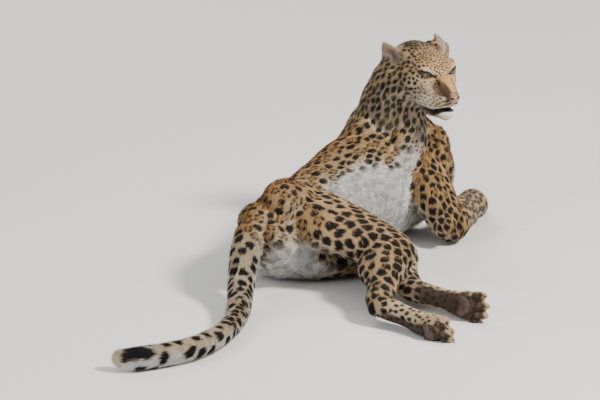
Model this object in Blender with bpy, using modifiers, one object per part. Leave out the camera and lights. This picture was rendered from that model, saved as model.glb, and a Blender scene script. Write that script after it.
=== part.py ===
"""Life-size leopard, lying: hips rolled onto the left side, chest upright, head turned to its right.

The animal is modelled whole from lofted limbs and muscle masses, merged into a smooth body,
and then parted with thin cuts into the pieces that a person would name.
World frame: metres, +Z up, the floor at z = 0, +X towards the feet and muzzle, +Y from rump to chest.
"""
import bmesh
import bpy
import math
from mathutils import Matrix, Vector

CM = 0.01
GAP = 0.0003

# Trunk: length from rump to chest front, heading at each end, and the rump's centre
TRUNK_LENGTH = 65.0
RUMP_CENTRE = (-5.5, -5.0, 9.6)
RUMP_HEADING = 76.0
CHEST_HEADING = 44.0
# Stations: share of the length, half width, half depth, centre height, roll onto the left side
TRUNK_STATIONS = (
    (0.00, 4.6, 5.4, 9.4, 56.0),
    (0.07, 7.6, 8.2, 9.0, 56.0),
    (0.20, 8.6, 9.2, 8.8, 54.0),
    (0.34, 7.9, 9.0, 8.8, 46.0),
    (0.48, 8.4, 9.8, 9.6, 34.0),
    (0.62, 9.3, 11.2, 10.5, 22.0),
    (0.76, 9.4, 12.0, 11.4, 12.0),
    (0.88, 8.6, 11.6, 12.2, 8.0),
    (0.96, 6.6, 9.2, 13.4, 6.0),
    (1.00, 4.2, 6.0, 14.0, 6.0),
)

# Head: midpoint between the eyes, heading and pitch of the muzzle
HEAD_ORIGIN = (27.5, 35.4, 33.9)
HEAD_HEADING = -52.0
HEAD_PITCH = -13.0
HEAD_TILT = 0.0
HEAD_SCALE = 0.95
EYE_RADIUS = 1.5
EYE_SPREAD = 3.2
EYE_DEPTH = -0.9
EYE_OUTWARD = 26.0
EYE_SLANT = 14.0
EYE_OPENING = (1.9, 1.35, 0.62)
EYE_GRID = (10, 7)
SOCKET_SHARE = 1.03

# Ears: root on the skull, the way each points and the way it opens, the right one laid back
LEFT_EAR = ((-6.7, 5.0, -0.1), (-0.52, 0.48, 0.70), (0.90, 0.18, 0.25))
RIGHT_EAR = ((-7.2, -4.9, 0.6), (-0.88, -0.42, 0.20), (-0.05, -0.95, -0.20))

# Neck: centres and half thicknesses from the shoulders to the skull
NECK_STATIONS = (
    ((14.8, 41.6, 14.5), 9.6),
    ((17.6, 43.4, 19.8), 9.0),
    ((18.6, 43.0, 25.2), 7.7),
    ((20.3, 41.6, 30.6), 6.9),
)

# Hind legs: bone lengths from hip to knee, knee to hock, and hock to paw
HIND_BONES = (21.0, 21.2, 13.5)
RIGHT_HIND_AIM = ((-45.0, -11.0), (-93.0, -14.0), (-47.0, -8.0))
LEFT_HIND_AIM = ((-8.0, 0.5), (-76.0, -4.0), (-46.0, -1.5))
HIP_SPREAD = 5.4
HIND_PAW = 1.0
# Ankle behind the paw: how far back, half width and half depth
HIND_ANKLE = ((0.0, 2.5, 2.3), (2.5, 2.2, 2.1), (5.0, 2.1, 2.1))

# Forelegs: bone lengths from shoulder to elbow, elbow to wrist, and wrist to paw
FORE_BONES = (17.5, 17.6, 4.5)
RIGHT_SHOULDER = (22.8, 42.6, 16.0)
LEFT_SHOULDER = (12.6, 50.4, 15.2)
RIGHT_FORE_AIM = ((-62.0, -40.0), (71.0, -2.0), (96.0, -14.0))
LEFT_FORE_AIM = ((-148.0, -38.0), (60.0, -1.0), (35.0, -14.0))
FORE_PAW = 1.12
FORE_ANKLE = ((0.0, 3.1, 2.7), (2.5, 3.0, 2.7), (5.0, 3.0, 2.8))
PAW_CUT = 1.5

# Tail: length of each stretch with its heading and pitch, and its half thickness along the way
TAIL_ROOT = (-8.2, -3.0, 12.6)
TAIL_STRETCHES = (
    (8.0, -106.0, -22.0),
    (9.0, -97.0, -34.0),
    (9.5, -92.0, -12.0),
    (10.0, -95.0, -1.5),
    (10.5, -105.0, 0.0),
    (10.5, -120.0, 0.0),
    (10.5, -144.0, 0.0),
    (4.0, -176.0, 0.0),
)
TAIL_ROOT_HALF = 3.5
TAIL_MID_HALF = 2.25
TAIL_END_HALF = 2.5

JAW_DROP = 7.0
EAR_CUT = 1.2
EAR_BLOCK = 3.6
LIMB_MARGIN = 0.005
# Surface detail: grid of the merge in metres, rounds of smoothing, and triangles left
BODY_SURFACE = (0.005, 8, 2250)
HEAD_SURFACE = (0.003, 4, 1150)
PAW_SURFACE = (0.003, 3, 160)
REGION_SURFACE = (0.008, 1, 800)

# Cuts: the share of the first bone where a leg leaves the trunk, and how far the cutting block reaches
HIND_CUT = (0.30, 13.0)
FORE_CUT = (0.36, 7.4)
ELBOW_CUT = 0.10
NECK_BASE = (18.6, 45.0, 21.6)
NECK_REACH = 13.0
CHEST_CUT = 0.60
RUMP_CUT = 0.36
SMOOTH_ANGLE = 40.0
COLOURS = {
    "coat": ((0.62, 0.42, 0.22), 0.9),
    "eye": ((0.30, 0.27, 0.14), 0.1),
    "nose": ((0.33, 0.16, 0.13), 0.5),
}


def point(values):
    """A place given in centimetres, as a vector in metres."""
    return Vector(values) * CM


def aim(heading, pitch):
    """Unit vector from a heading in the floor plane and a pitch above it, in degrees."""
    turn = math.radians(heading)
    rise = math.radians(pitch)
    return Vector((math.cos(turn) * math.cos(rise), math.sin(turn) * math.cos(rise), math.sin(rise)))


def blend(low, high, share):
    return low + (high - low) * share


def table(rows, share, column):
    """Smooth value of one column of a station table at a share of the length."""
    for before, after in zip(rows, rows[1:]):
        if share <= after[0]:
            part = (share - before[0]) / (after[0] - before[0])
            part = part * part * (3.0 - 2.0 * part) * 0.5 + part * 0.5
            return blend(before[column], after[column], part)
    return rows[-1][column]


def clean_scene():
    for old in list(bpy.data.objects):
        bpy.data.objects.remove(old, do_unlink=True)


def make_material(name, colour, roughness):
    material = bpy.data.materials.new(name)
    material.use_nodes = True
    shader = material.node_tree.nodes["Principled BSDF"]
    shader.inputs["Base Color"].default_value = (*colour, 1.0)
    shader.inputs["Roughness"].default_value = roughness
    shader.inputs["Metallic"].default_value = 0.0
    return material


def make_object(name, mesh, collection):
    thing = bpy.data.objects.new(name, mesh)
    collection.objects.link(thing)
    return thing


def evaluated(thing):
    """Mesh of an object with its modifiers applied, and the object reset to it."""
    bpy.context.view_layer.update()
    graph = bpy.context.evaluated_depsgraph_get()
    mesh = bpy.data.meshes.new_from_object(thing.evaluated_get(graph))
    thing.modifiers.clear()
    thing.data = mesh
    return thing


class Sculpt:
    """A set of closed forms that a voxel remesh merges into one smooth body."""

    def __init__(self):
        self.mesh = bmesh.new()

    def ball(self, centre, axes, detail=3):
        """Ellipsoid whose half axes are the three vectors."""
        frame = Matrix((axes[0], axes[1], axes[2])).transposed().to_4x4()
        frame.translation = centre
        bmesh.ops.create_icosphere(self.mesh, subdivisions=detail, radius=1.0, matrix=frame)

    def loft(self, rings, sides=20):
        """Closed tube through rings, each given by a centre and two half-axis vectors."""
        loops = []
        for centre, across, along in rings:
            loop = []
            for index in range(sides):
                angle = 2.0 * math.pi * index / sides
                place = centre + across * math.cos(angle) + along * math.sin(angle)
                loop.append(self.mesh.verts.new(place))
            loops.append(loop)
        for first, second in zip(loops, loops[1:]):
            for index in range(sides):
                other = (index + 1) % sides
                self.mesh.faces.new((first[index], first[other], second[other], second[index]))
        self.mesh.faces.new(list(reversed(loops[0])))
        self.mesh.faces.new(loops[-1])

    def finish(self, name, collection, surface):
        """Merged, smoothed and thinned to about the wanted number of triangles."""
        voxel, smoothing, triangles = surface
        bmesh.ops.recalc_face_normals(self.mesh, faces=self.mesh.faces)
        mesh = bpy.data.meshes.new(name)
        self.mesh.to_mesh(mesh)
        self.mesh.free()
        thing = make_object(name, mesh, collection)
        remesh = thing.modifiers.new("merge", "REMESH")
        remesh.mode = "VOXEL"
        remesh.voxel_size = voxel
        smooth = thing.modifiers.new("smooth", "SMOOTH")
        smooth.factor = 0.5
        smooth.iterations = smoothing
        evaluated(thing)
        triangulate = thing.modifiers.new("triangles", "TRIANGULATE")
        triangulate.min_vertices = 4
        evaluated(thing)
        thin = thing.modifiers.new("thin", "DECIMATE")
        thin.ratio = min(1.0, triangles / len(thing.data.polygons))
        return evaluated(thing)


def smooth_path(points, steps):
    """Catmull-Rom curve through the points, with the share of the way at each step."""
    padded = [points[0] * 2.0 - points[1]] + list(points) + [points[-1] * 2.0 - points[-2]]
    path = []
    spans = len(points) - 1
    for span in range(spans):
        a, b, c, d = padded[span:span + 4]
        for step in range(steps):
            t = step / steps
            place = 0.5 * (2.0 * b + (c - a) * t + (2.0 * a - 5.0 * b + 4.0 * c - d) * t * t
                           + (3.0 * b - a - 3.0 * c + d) * t * t * t)
            path.append((place, span + t))
    path.append((points[-1], float(spans)))
    return path


def tube_rings(points, halves, side_hint, steps=4):
    """Rings along a smooth path; halves gives (across the hint, along the hint) at each point."""
    path = smooth_path(points, steps)
    rings = []
    for index, (place, along) in enumerate(path):
        before = path[max(index - 1, 0)][0]
        after = path[min(index + 1, len(path) - 1)][0]
        forward = (after - before).normalized()
        hint = side_hint(along) if callable(side_hint) else side_hint
        side = (hint - forward * hint.dot(forward)).normalized()
        other = forward.cross(side)
        low = min(int(along), len(halves) - 2)
        share = along - low
        share = share * share * (3.0 - 2.0 * share)
        wide = blend(halves[low][0], halves[low + 1][0], share)
        deep = blend(halves[low][1], halves[low + 1][1], share)
        rings.append((place, other * wide * CM, side * deep * CM))
    return round_ends(rings)


def round_ends(rings):
    """The same rings with a shallow dome at each end."""
    first = rings[0]
    last = rings[-1]
    ahead = (last[0] - rings[-2][0]).normalized()
    behind = (first[0] - rings[1][0]).normalized()
    domes = []
    for share in (0.55, 0.85):
        shrink = math.sqrt(1.0 - share * share)
        domes.append((share, shrink))
    start = []
    end = []
    for share, shrink in domes:
        half = min(first[1].length, first[2].length)
        start.insert(0, (first[0] + behind * half * share, first[1] * shrink, first[2] * shrink))
        half = min(last[1].length, last[2].length)
        end.append((last[0] + ahead * half * share, last[1] * shrink, last[2] * shrink))
    return start + rings + end


def chain(start, aims, lengths):
    """Joints of a limb from its root, the aims of its bones and their lengths."""
    joints = [start]
    for (heading, pitch), length in zip(aims, lengths):
        joints.append(joints[-1] + aim(heading, pitch) * length * CM)
    return joints


class Trunk:
    """Centre line of the trunk, with its body frame at any share of its length."""

    def __init__(self):
        self.steps = 52
        places = [point(RUMP_CENTRE)]
        for step in range(self.steps):
            share = (step + 0.5) / self.steps
            heading = blend(RUMP_HEADING, CHEST_HEADING, share)
            places.append(places[-1] + aim(heading, 0.0) * TRUNK_LENGTH * CM / self.steps)
        self.places = places

    def centre(self, share):
        low = min(int(share * self.steps), self.steps - 1)
        place = self.places[low].lerp(self.places[low + 1], share * self.steps - low)
        place.z = table(TRUNK_STATIONS, share, 3) * CM
        return place

    def frame(self, share):
        """Forward, right and back (dorsal) directions, rolled onto the left side."""
        forward = aim(blend(RUMP_HEADING, CHEST_HEADING, share), 0.0)
        right = forward.cross(Vector((0.0, 0.0, 1.0)))
        roll = math.radians(table(TRUNK_STATIONS, share, 4))
        back = Vector((0.0, 0.0, 1.0)) * math.cos(roll) - right * math.sin(roll)
        side = right * math.cos(roll) + Vector((0.0, 0.0, 1.0)) * math.sin(roll)
        return forward, side, back

    def spot(self, share, right, up):
        """A place beside the centre line, in centimetres to the right and towards the back."""
        _, side, back = self.frame(share)
        return self.centre(share) + side * right * CM + back * up * CM

    def rings(self):
        rings = []
        for index in range(27):
            share = index / 26.0
            _, side, back = self.frame(share)
            wide = table(TRUNK_STATIONS, share, 1) * CM
            deep = table(TRUNK_STATIONS, share, 2) * CM
            rings.append((self.centre(share), side * wide, back * deep))
        return round_ends(rings)


class HeadFrame:
    """Head coordinates: forward along the muzzle, left, and up, from between the eyes."""

    def __init__(self):
        self.origin = point(HEAD_ORIGIN)
        self.forward = aim(HEAD_HEADING, HEAD_PITCH)
        level = Vector((0.0, 0.0, 1.0)).cross(self.forward).normalized()
        upright = self.forward.cross(level)
        tilt = math.radians(HEAD_TILT)
        self.left = level * math.cos(tilt) + upright * math.sin(tilt)
        self.up = self.forward.cross(self.left)

    def at(self, x, y, z):
        return self.origin + self.vector(x, y, z)

    def vector(self, x, y, z):
        return (self.forward * x + self.left * y + self.up * z) * CM * HEAD_SCALE

    def turned(self, half, yaw=0.0, pitch=0.0, roll=0.0):
        """Half axes of an ellipsoid turned in the head frame, in centimetres and degrees."""
        turn = Matrix.Rotation(math.radians(yaw), 3, "Z") @ Matrix.Rotation(math.radians(-pitch), 3, "Y")
        turn = turn @ Matrix.Rotation(math.radians(roll), 3, "X")
        axes = []
        for index in range(3):
            local = turn.col[index] * half[index]
            axes.append(self.vector(*local))
        return axes


def neck_forms(sculpt):
    points = [point(place) for place, _ in NECK_STATIONS]
    halves = [(half, half * 0.92) for _, half in NECK_STATIONS]
    side = aim(10.0, -35.0)
    sculpt.loft(tube_rings(points, halves, side))


def skull_forms(sculpt, head):
    """Skull, cheeks, brow, muzzle and chin of a female leopard."""
    add = sculpt.ball
    add(head.at(-6.3, 0.0, -0.2), head.turned((6.3, 5.3, 3.8), pitch=-6.0))
    add(head.at(-8.0, 0.0, -1.6), head.turned((5.4, 5.8, 5.2)))
    add(head.at(-2.2, 0.0, 0.5), head.turned((4.2, 4.1, 2.8), pitch=-24.0))
    add(head.at(1.9, 0.0, -1.9), head.turned((4.8, 2.0, 1.9), pitch=-19.0))
    add(head.at(1.9, 0.0, -4.2), head.turned((3.6, 2.5, 2.6), pitch=-6.0))
    add(head.at(-1.5, 0.0, -3.4), head.turned((5.4, 4.5, 3.6), pitch=-4.0))
    add(head.at(1.6, 0.0, -7.5), head.turned((4.3, 2.6, 2.0), pitch=4.0))
    add(head.at(4.0, 0.0, -7.7), head.turned((1.6, 1.7, 1.6)))
    add(head.at(5.0, 0.0, -3.1), head.turned((1.35, 1.3, 1.15), pitch=-24.0))
    add(head.at(4.8, 0.0, -4.9), head.turned((0.95, 1.1, 1.5)))
    add(head.at(-4.8, 0.0, -5.6), head.turned((4.6, 4.8, 3.4)))
    add(head.at(-0.8, 0.0, -7.5), head.turned((4.3, 3.2, 2.5), pitch=-4.0))
    for side in (1.0, -1.0):
        add(head.at(-3.8, side * 4.0, -2.7), head.turned((4.6, 3.0, 3.6), yaw=-side * 14.0))
        add(head.at(-1.7, side * 3.3, 0.9), head.turned((2.1, 1.6, 1.05), yaw=-side * 34.0))
        add(head.at(-0.4, side * 3.4, -2.4), head.turned((2.6, 1.8, 1.5), yaw=-side * 30.0))
        add(head.at(3.0, side * 1.55, -4.9), head.turned((2.4, 1.70, 2.1), yaw=-side * 15.0, pitch=-4.0))
        add(head.at(0.2, side * 2.9, -5.5), head.turned((4.2, 1.7, 2.3), yaw=-side * 18.0))
        add(head.at(-7.6, side * 4.0, 1.4), head.turned((2.4, 1.9, 2.2)))


def ear_forms(sculpt, head):
    """Rounded ears, each a bent leaf that opens forwards and outwards."""
    for side in (1.0, -1.0):
        base, upward, facing = ear_axes(head, side)
        across = upward.cross(facing)
        sheets = 7
        for index in range(sheets):
            turn = math.radians(blend(-66.0, 66.0, index / (sheets - 1)))
            place = base + across * math.sin(turn) * 2.5 * CM
            place -= facing * (math.cos(turn) - 0.55) * 2.0 * CM
            height = (4.7 - 1.1 * abs(math.sin(turn)) ** 2) * CM
            out = across * math.cos(turn) + facing * math.sin(turn)
            thick = out.cross(upward)
            centre = place + upward * height * 0.44
            sculpt.ball(centre, (upward * height * 0.62, out * 1.15 * CM, thick * 0.42 * CM), 2)


def trunk_forms(sculpt, trunk):
    """Rib cage, belly, rump and the masses of shoulder, breast and haunch."""
    sculpt.loft(trunk.rings(), 28)
    for side in (1.0, -1.0):
        forward, lateral, back = trunk.frame(0.80)
        blade = (forward * 5.0 + back * 8.6) * CM
        cross = (forward * 4.4 - back * 2.3) * CM
        sculpt.ball(trunk.spot(0.79, side * 6.6, 5.6), (blade, cross, lateral * 3.1 * CM))
        forward, lateral, back = trunk.frame(0.9)
        sculpt.ball(trunk.spot(0.90, side * 6.0, -0.5),
                    (forward * 5.6 * CM, back * 6.8 * CM, lateral * 3.9 * CM))
        forward, lateral, back = trunk.frame(0.16)
        sculpt.ball(trunk.spot(0.17, side * 4.9, 1.8),
                    (forward * 9.4 * CM, back * 7.0 * CM, lateral * 5.0 * CM))
    forward, lateral, back = trunk.frame(0.93)
    sculpt.ball(trunk.spot(0.93, 0.0, -3.6), (forward * 7.2 * CM, lateral * 5.6 * CM, back * 6.8 * CM))
    forward, lateral, back = trunk.frame(0.80)
    sculpt.ball(trunk.spot(0.80, 0.0, 8.6), (forward * 10.5 * CM, lateral * 4.2 * CM, back * 5.2 * CM))
    forward, lateral, back = trunk.frame(0.45)
    sculpt.ball(trunk.spot(0.45, 0.6, -4.6), (forward * 14.0 * CM, lateral * 6.4 * CM, back * 6.2 * CM))


def hind_joints(trunk, side):
    """Hip, knee, hock and paw root of the right (1) or left (-1) hind leg."""
    hip = trunk.spot(0.20, side * HIP_SPREAD, -0.6)
    if side > 0:
        return chain(hip, RIGHT_HIND_AIM, HIND_BONES)
    return chain(hip, LEFT_HIND_AIM, HIND_BONES)


def fore_joints(side):
    """Shoulder, elbow, wrist and paw root of the right (1) or left (-1) foreleg."""
    if side > 0:
        return chain(point(RIGHT_SHOULDER), RIGHT_FORE_AIM, FORE_BONES)
    return chain(point(LEFT_SHOULDER), LEFT_FORE_AIM, FORE_BONES)


def hind_forms(sculpt, trunk, side):
    hip, knee, hock, paw = hind_joints(trunk, side)
    lateral = Vector((0.0, 0.0, 1.0))
    thigh = hip.lerp(knee, 0.45)
    calf = knee.lerp(hock, 0.32)
    shin = knee.lerp(hock, 0.72)
    heel = hock + (hock - knee).normalized() * 0.012
    halves = [(8.4, 4.4), (8.2, 4.6), (5.8, 4.3), (4.6, 3.7), (3.0, 2.6), (2.8, 2.4), (2.3, 2.1)]
    middle = hock.lerp(paw, 0.55)
    sculpt.loft(tube_rings([hip, thigh, knee, calf, shin, hock, middle], halves, lateral))
    sculpt.loft(tube_rings([hock, middle, paw], [(2.4, 2.2), (2.15, 2.1), (2.5, 2.6)], lateral))
    bone = (knee - hip).normalized()
    rear = bone.cross(lateral).normalized()
    if rear.dot(hock - knee) < 0.0:
        rear = -rear
    sculpt.ball(hip.lerp(knee, 0.30) + rear * 2.6 * CM,
                (bone * 10.5 * CM, rear * 7.2 * CM, lateral * 4.7 * CM))
    sculpt.ball(hip.lerp(knee, 0.62) - rear * 1.4 * CM,
                (bone * 8.6 * CM, rear * 5.4 * CM, lateral * 4.2 * CM))
    sculpt.ball(knee, (bone * 3.9 * CM, rear * 4.4 * CM, lateral * 3.7 * CM))
    shank = (hock - knee).normalized()
    back = shank.cross(lateral).normalized()
    foot = (paw - hock).normalized()
    if back.dot(foot) > 0.0:
        back = -back
    sculpt.ball(knee.lerp(hock, 0.30) + back * 1.1 * CM,
                (shank * 7.2 * CM, back * 4.1 * CM, lateral * 3.5 * CM))
    sculpt.loft(tube_rings([knee.lerp(hock, 0.62) + back * 1.6 * CM, heel + back * 1.4 * CM],
                           [(1.5, 1.5), (1.35, 1.5)], lateral))
    sculpt.ball(heel + back * 0.9 * CM - shank * 0.4 * CM,
                (shank * 2.2 * CM, back * 1.9 * CM, lateral * 2.0 * CM))


def fore_forms(sculpt, side):
    shoulder, elbow, wrist, paw = fore_joints(side)
    upper = (elbow - shoulder).normalized()
    fore = (wrist - elbow).normalized()
    across = upper.cross(fore).normalized()
    middle = shoulder.lerp(elbow, 0.5)
    belly = elbow.lerp(wrist, 0.30)
    low = elbow.lerp(wrist, 0.75)
    halves = [(5.4, 4.4), (5.2, 4.3), (4.3, 3.9), (4.1, 3.8), (3.1, 3.1), (3.3, 3.0), (3.2, 2.8)]
    path = [shoulder, middle, elbow, belly, low, wrist, wrist.lerp(paw, 0.8)]
    sculpt.loft(tube_rings(path, halves, across))
    point_of_elbow = elbow - fore * 2.4 * CM
    sculpt.ball(point_of_elbow, (fore * 3.3 * CM, upper * 3.2 * CM, across * 3.0 * CM))
    rear = (upper - fore * upper.dot(fore)).normalized()
    sculpt.ball(middle - fore * 2.6 * CM, (upper * 8.2 * CM, fore * 4.6 * CM, across * 4.1 * CM))
    sculpt.ball(shoulder - upper * 1.5 * CM, (upper * 6.2 * CM, fore * 5.0 * CM, across * 4.4 * CM))
    sculpt.ball(elbow.lerp(wrist, 0.28) + rear * 0.3 * CM,
                (fore * 7.0 * CM, rear * 3.9 * CM, across * 3.7 * CM))


def paw_forms(sculpt, root, forward, dorsal, size, ankle):
    """Broad paw with four toes, its big pad and toe pads; the end of the limb reaches back from it."""
    forward = forward.normalized()
    side = dorsal.cross(forward).normalized()
    dorsal = forward.cross(side).normalized()
    unit = size * CM
    for offset, wide, deep in ankle:
        sculpt.ball(root - forward * offset * CM,
                    (forward * 3.2 * CM, side * wide * CM, dorsal * deep * CM))
    sculpt.ball(root + forward * 1.2 * unit,
                (forward * 4.0 * unit, side * 3.1 * unit, dorsal * 2.3 * unit))
    sculpt.ball(root + (forward * 1.9 - dorsal * 1.0) * unit,
                (forward * 2.3 * unit, side * 2.7 * unit, dorsal * 1.7 * unit))
    for index in range(4):
        spread = index - 1.5
        reach = 5.6 - 0.55 * spread * spread
        middle = root + (forward * (reach - 1.4) + side * spread * 1.62 + dorsal * 0.15) * unit
        aimed = (forward + side * spread * 0.13 - dorsal * 0.22).normalized()
        over = aimed.cross(side).normalized()
        sculpt.ball(middle, (aimed * 2.7 * unit, side * 1.02 * unit, over * 1.45 * unit))
        sculpt.ball(middle + (aimed * 1.2 - dorsal * 0.35) * unit,
                    (aimed * 1.35 * unit, side * 0.92 * unit, over * 1.15 * unit))


def tail_path():
    points = [point(TAIL_ROOT)]
    for length, heading, pitch in TAIL_STRETCHES:
        points.append(points[-1] + aim(heading, pitch) * length * CM)
    return points


def tail_forms(sculpt, trunk):
    points = tail_path()
    count = len(points)
    halves = []
    for index in range(count):
        share = index / (count - 1)
        if share < 0.5:
            half = blend(TAIL_ROOT_HALF, TAIL_MID_HALF, share * 2.0)
        else:
            half = blend(TAIL_MID_HALF, TAIL_END_HALF, share * 2.0 - 1.0)
        halves.append((half, half))
    halves[-1] = (TAIL_END_HALF * 0.8, TAIL_END_HALF * 0.8)
    inner = trunk.spot(0.10, 0.0, 5.0)
    sculpt.loft(tube_rings([inner] + points, [(4.6, 4.2)] + halves, Vector((0.0, 0.0, 1.0))), 16)


def box_object(name, centre, axes, collection):
    """Cutter box from its centre and three half-side vectors."""
    frame = Matrix((axes[0], axes[1], axes[2])).transposed().to_4x4()
    frame.translation = centre
    mesh = bpy.data.meshes.new(name)
    solid = bmesh.new()
    bmesh.ops.create_cube(solid, size=2.0, matrix=frame)
    bmesh.ops.recalc_face_normals(solid, faces=solid.faces)
    solid.to_mesh(mesh)
    solid.free()
    return make_object(name, mesh, collection)


def ball_object(name, centre, axes, collection, segments=12, rings=8):
    """Closed ellipsoid object from its centre and half-axis vectors."""
    frame = Matrix((axes[0], axes[1], axes[2])).transposed().to_4x4()
    frame.translation = centre
    mesh = bpy.data.meshes.new(name)
    solid = bmesh.new()
    bmesh.ops.create_uvsphere(solid, u_segments=segments, v_segments=rings, radius=1.0, matrix=frame)
    bmesh.ops.recalc_face_normals(solid, faces=solid.faces)
    solid.to_mesh(mesh)
    solid.free()
    return make_object(name, mesh, collection)


def boolean(thing, cutter, operation):
    """Boolean of a solid with a cutter, applied at once."""
    change = thing.modifiers.new(operation.lower(), "BOOLEAN")
    change.operation = operation
    change.solver = "EXACT"
    change.object = cutter
    evaluated(thing)


def block(centre, normal, reach, collection, shift=0.0):
    """Cutting block that fills the side of a plane where the normal points, within its reach."""
    normal = normal.normalized()
    hint = Vector((0.0, 0.0, 1.0)) if abs(normal.z) < 0.9 else Vector((1.0, 0.0, 0.0))
    across = normal.cross(hint).normalized()
    other = normal.cross(across)
    depth = reach * CM
    return box_object("block", centre + normal * (depth + shift),
                      (normal * depth, across * depth, other * depth), collection)


def duplicate(thing, name, collection):
    return make_object(name, thing.data.copy(), collection)


def grown(thing, amount, collection):
    """Copy of a solid with its surface moved outwards."""
    copy = duplicate(thing, "grown", collection)
    swell = copy.modifiers.new("swell", "DISPLACE")
    swell.direction = "NORMAL"
    swell.mid_level = 0.0
    swell.strength = amount
    return evaluated(copy)


def largest_body(thing):
    """Drop the scraps that a cut can leave beside the main body of a mesh."""
    solid = bmesh.new()
    solid.from_mesh(thing.data)
    solid.verts.ensure_lookup_table()
    seen = set()
    groups = []
    for seed in solid.verts:
        if seed in seen:
            continue
        seen.add(seed)
        stack = [seed]
        group = []
        while stack:
            vert = stack.pop()
            group.append(vert)
            for edge in vert.link_edges:
                other = edge.other_vert(vert)
                if other not in seen:
                    seen.add(other)
                    stack.append(other)
        groups.append(group)
    groups.sort(key=len, reverse=True)
    for group in groups[1:]:
        bmesh.ops.delete(solid, geom=group, context="VERTS")
    solid.to_mesh(thing.data)
    solid.free()
    return thing


class Assembly:
    """Parts and cutters collections, with the cuts that part one solid into two."""

    def __init__(self):
        self.parts = bpy.data.collections.new("leopard")
        self.cutters = bpy.data.collections.new("cutters")
        bpy.context.scene.collection.children.link(self.parts)
        bpy.context.scene.collection.children.link(self.cutters)

    def discard(self, *things):
        for thing in things:
            bpy.data.objects.remove(thing, do_unlink=True)

    def carve(self, whole, region, name):
        """Take the piece inside a region out of the whole, leaving the gap around it."""
        piece = duplicate(whole, name, self.parts)
        boolean(piece, region, "INTERSECT")
        bigger = grown(region, GAP, self.cutters)
        boolean(whole, bigger, "DIFFERENCE")
        self.discard(region, bigger)
        largest_body(whole)
        return largest_body(piece)

    def split(self, whole, centre, normal, reach, name):
        """Part a solid at a plane; the piece on the normal's side gets the name."""
        front = block(centre, normal, reach, self.cutters)
        bigger = block(centre, normal, reach, self.cutters, shift=-GAP)
        piece = duplicate(whole, name, self.parts)
        boolean(piece, front, "INTERSECT")
        boolean(whole, bigger, "DIFFERENCE")
        self.discard(front, bigger)
        largest_body(whole)
        return largest_body(piece)

    def trim(self, thing, centre, normal, reach, shift=0.0):
        """Cut away what lies on the normal's side of a plane."""
        away = block(centre, normal, reach, self.cutters, shift)
        boolean(thing, away, "DIFFERENCE")
        self.discard(away)
        return largest_body(thing)

    def flatten(self, thing):
        """Flat rest on the floor."""
        return self.trim(thing, Vector((0.0, 0.05, 0.0)), Vector((0.0, 0.0, -1.0)), 120.0)


def limb_region(build, joints, cut, assembly):
    """Region that holds one leg: its own forms, a little fatter, from a share of its first bone on."""
    start, reach = cut
    sculpt = Sculpt()
    build(sculpt)
    region = sculpt.finish("region", assembly.cutters, REGION_SURFACE)
    swell = grown(region, LIMB_MARGIN, assembly.cutters)
    assembly.discard(region)
    bone = joints[1] - joints[0]
    return assembly.trim(swell, joints[0] + bone * start, -bone, reach)


def bisector(joints, index):
    """Direction across a joint: the mean of the bones before and after it."""
    before = (joints[index] - joints[index - 1]).normalized()
    after = (joints[index + 1] - joints[index]).normalized()
    return (before + after).normalized()


def hind_paw_axes(joints, side):
    """Forward and dorsal directions of a hind paw that lies on its side."""
    foot = (joints[3] - joints[2]).normalized()
    dorsal = Vector((0.0, 0.0, 1.0)).cross(foot).normalized()
    dorsal = (dorsal + Vector((0.0, 0.0, 0.20 * side))).normalized()
    return foot, dorsal


def build_head(assembly, head):
    """Head with its ears, eyes, nose and lower jaw parted from it."""
    sculpt = Sculpt()
    skull_forms(sculpt, head)
    ear_forms(sculpt, head)
    neck_forms(sculpt)
    whole = sculpt.finish("head", assembly.parts, HEAD_SURFACE)
    centre, normal = neck_plane(head)
    assembly.trim(whole, centre, -normal, 30.0, shift=-GAP)
    for side, name in ((1.0, "left"), (-1.0, "right")):
        base, upward, _ = ear_axes(head, side)
        assembly.split(whole, base + upward * EAR_CUT * CM, upward, EAR_BLOCK, "ear_" + name)
        centre = head.at(EYE_DEPTH, side * EYE_SPREAD, 0.0)
        axes = head.turned((EYE_RADIUS, EYE_RADIUS, EYE_RADIUS), yaw=side * EYE_OUTWARD)
        ball_object("eye_" + name, centre, axes, assembly.parts, *EYE_GRID)
        wider = [axis * SOCKET_SHARE for axis in axes]
        socket = ball_object("socket", centre, wider, assembly.cutters, *EYE_GRID)
        boolean(whole, socket, "DIFFERENCE")
        front = centre + axes[0] * 1.1
        slit = head.turned(EYE_OPENING, yaw=side * EYE_OUTWARD, roll=side * EYE_SLANT)
        opening = ball_object("opening", front, slit, assembly.cutters)
        boolean(whole, opening, "DIFFERENCE")
        assembly.discard(socket, opening)
        largest_body(whole)
    nose = ball_object("nose_region", head.at(6.1, 0.0, -3.3), head.turned((1.4, 1.6, 1.3)),
                       assembly.cutters)
    assembly.carve(whole, nose, "nose")
    jaw = box_object("jaw_region", head.at(5.2, 0.0, -9.35),
                     head.turned((6.0, 5.0, 3.0), pitch=JAW_DROP), assembly.cutters)
    assembly.carve(whole, jaw, "lower_jaw")


def neck_plane(head):
    """Where the head meets the neck: a place and the direction towards the muzzle."""
    return head.at(-8.6, 0.0, -4.4), head.vector(0.72, 0.0, 0.69).normalized()


def build_paws(assembly, trunk):
    """Four paws, each beyond a plane across its foot, with the same planes cut on the body."""
    planes = []
    for side, name in ((1.0, "right"), (-1.0, "left")):
        joints = hind_joints(trunk, side)
        axes = hind_paw_axes(joints, side)
        planes.append(build_paw(assembly, "hind_paw_" + name, joints[3], axes, HIND_PAW, HIND_ANKLE))
        joints = fore_joints(side)
        axes = ((joints[3] - joints[2]).normalized(), Vector((0.0, 0.0, 1.0)))
        planes.append(build_paw(assembly, "fore_paw_" + name, joints[3], axes, FORE_PAW, FORE_ANKLE))
    return planes


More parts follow.
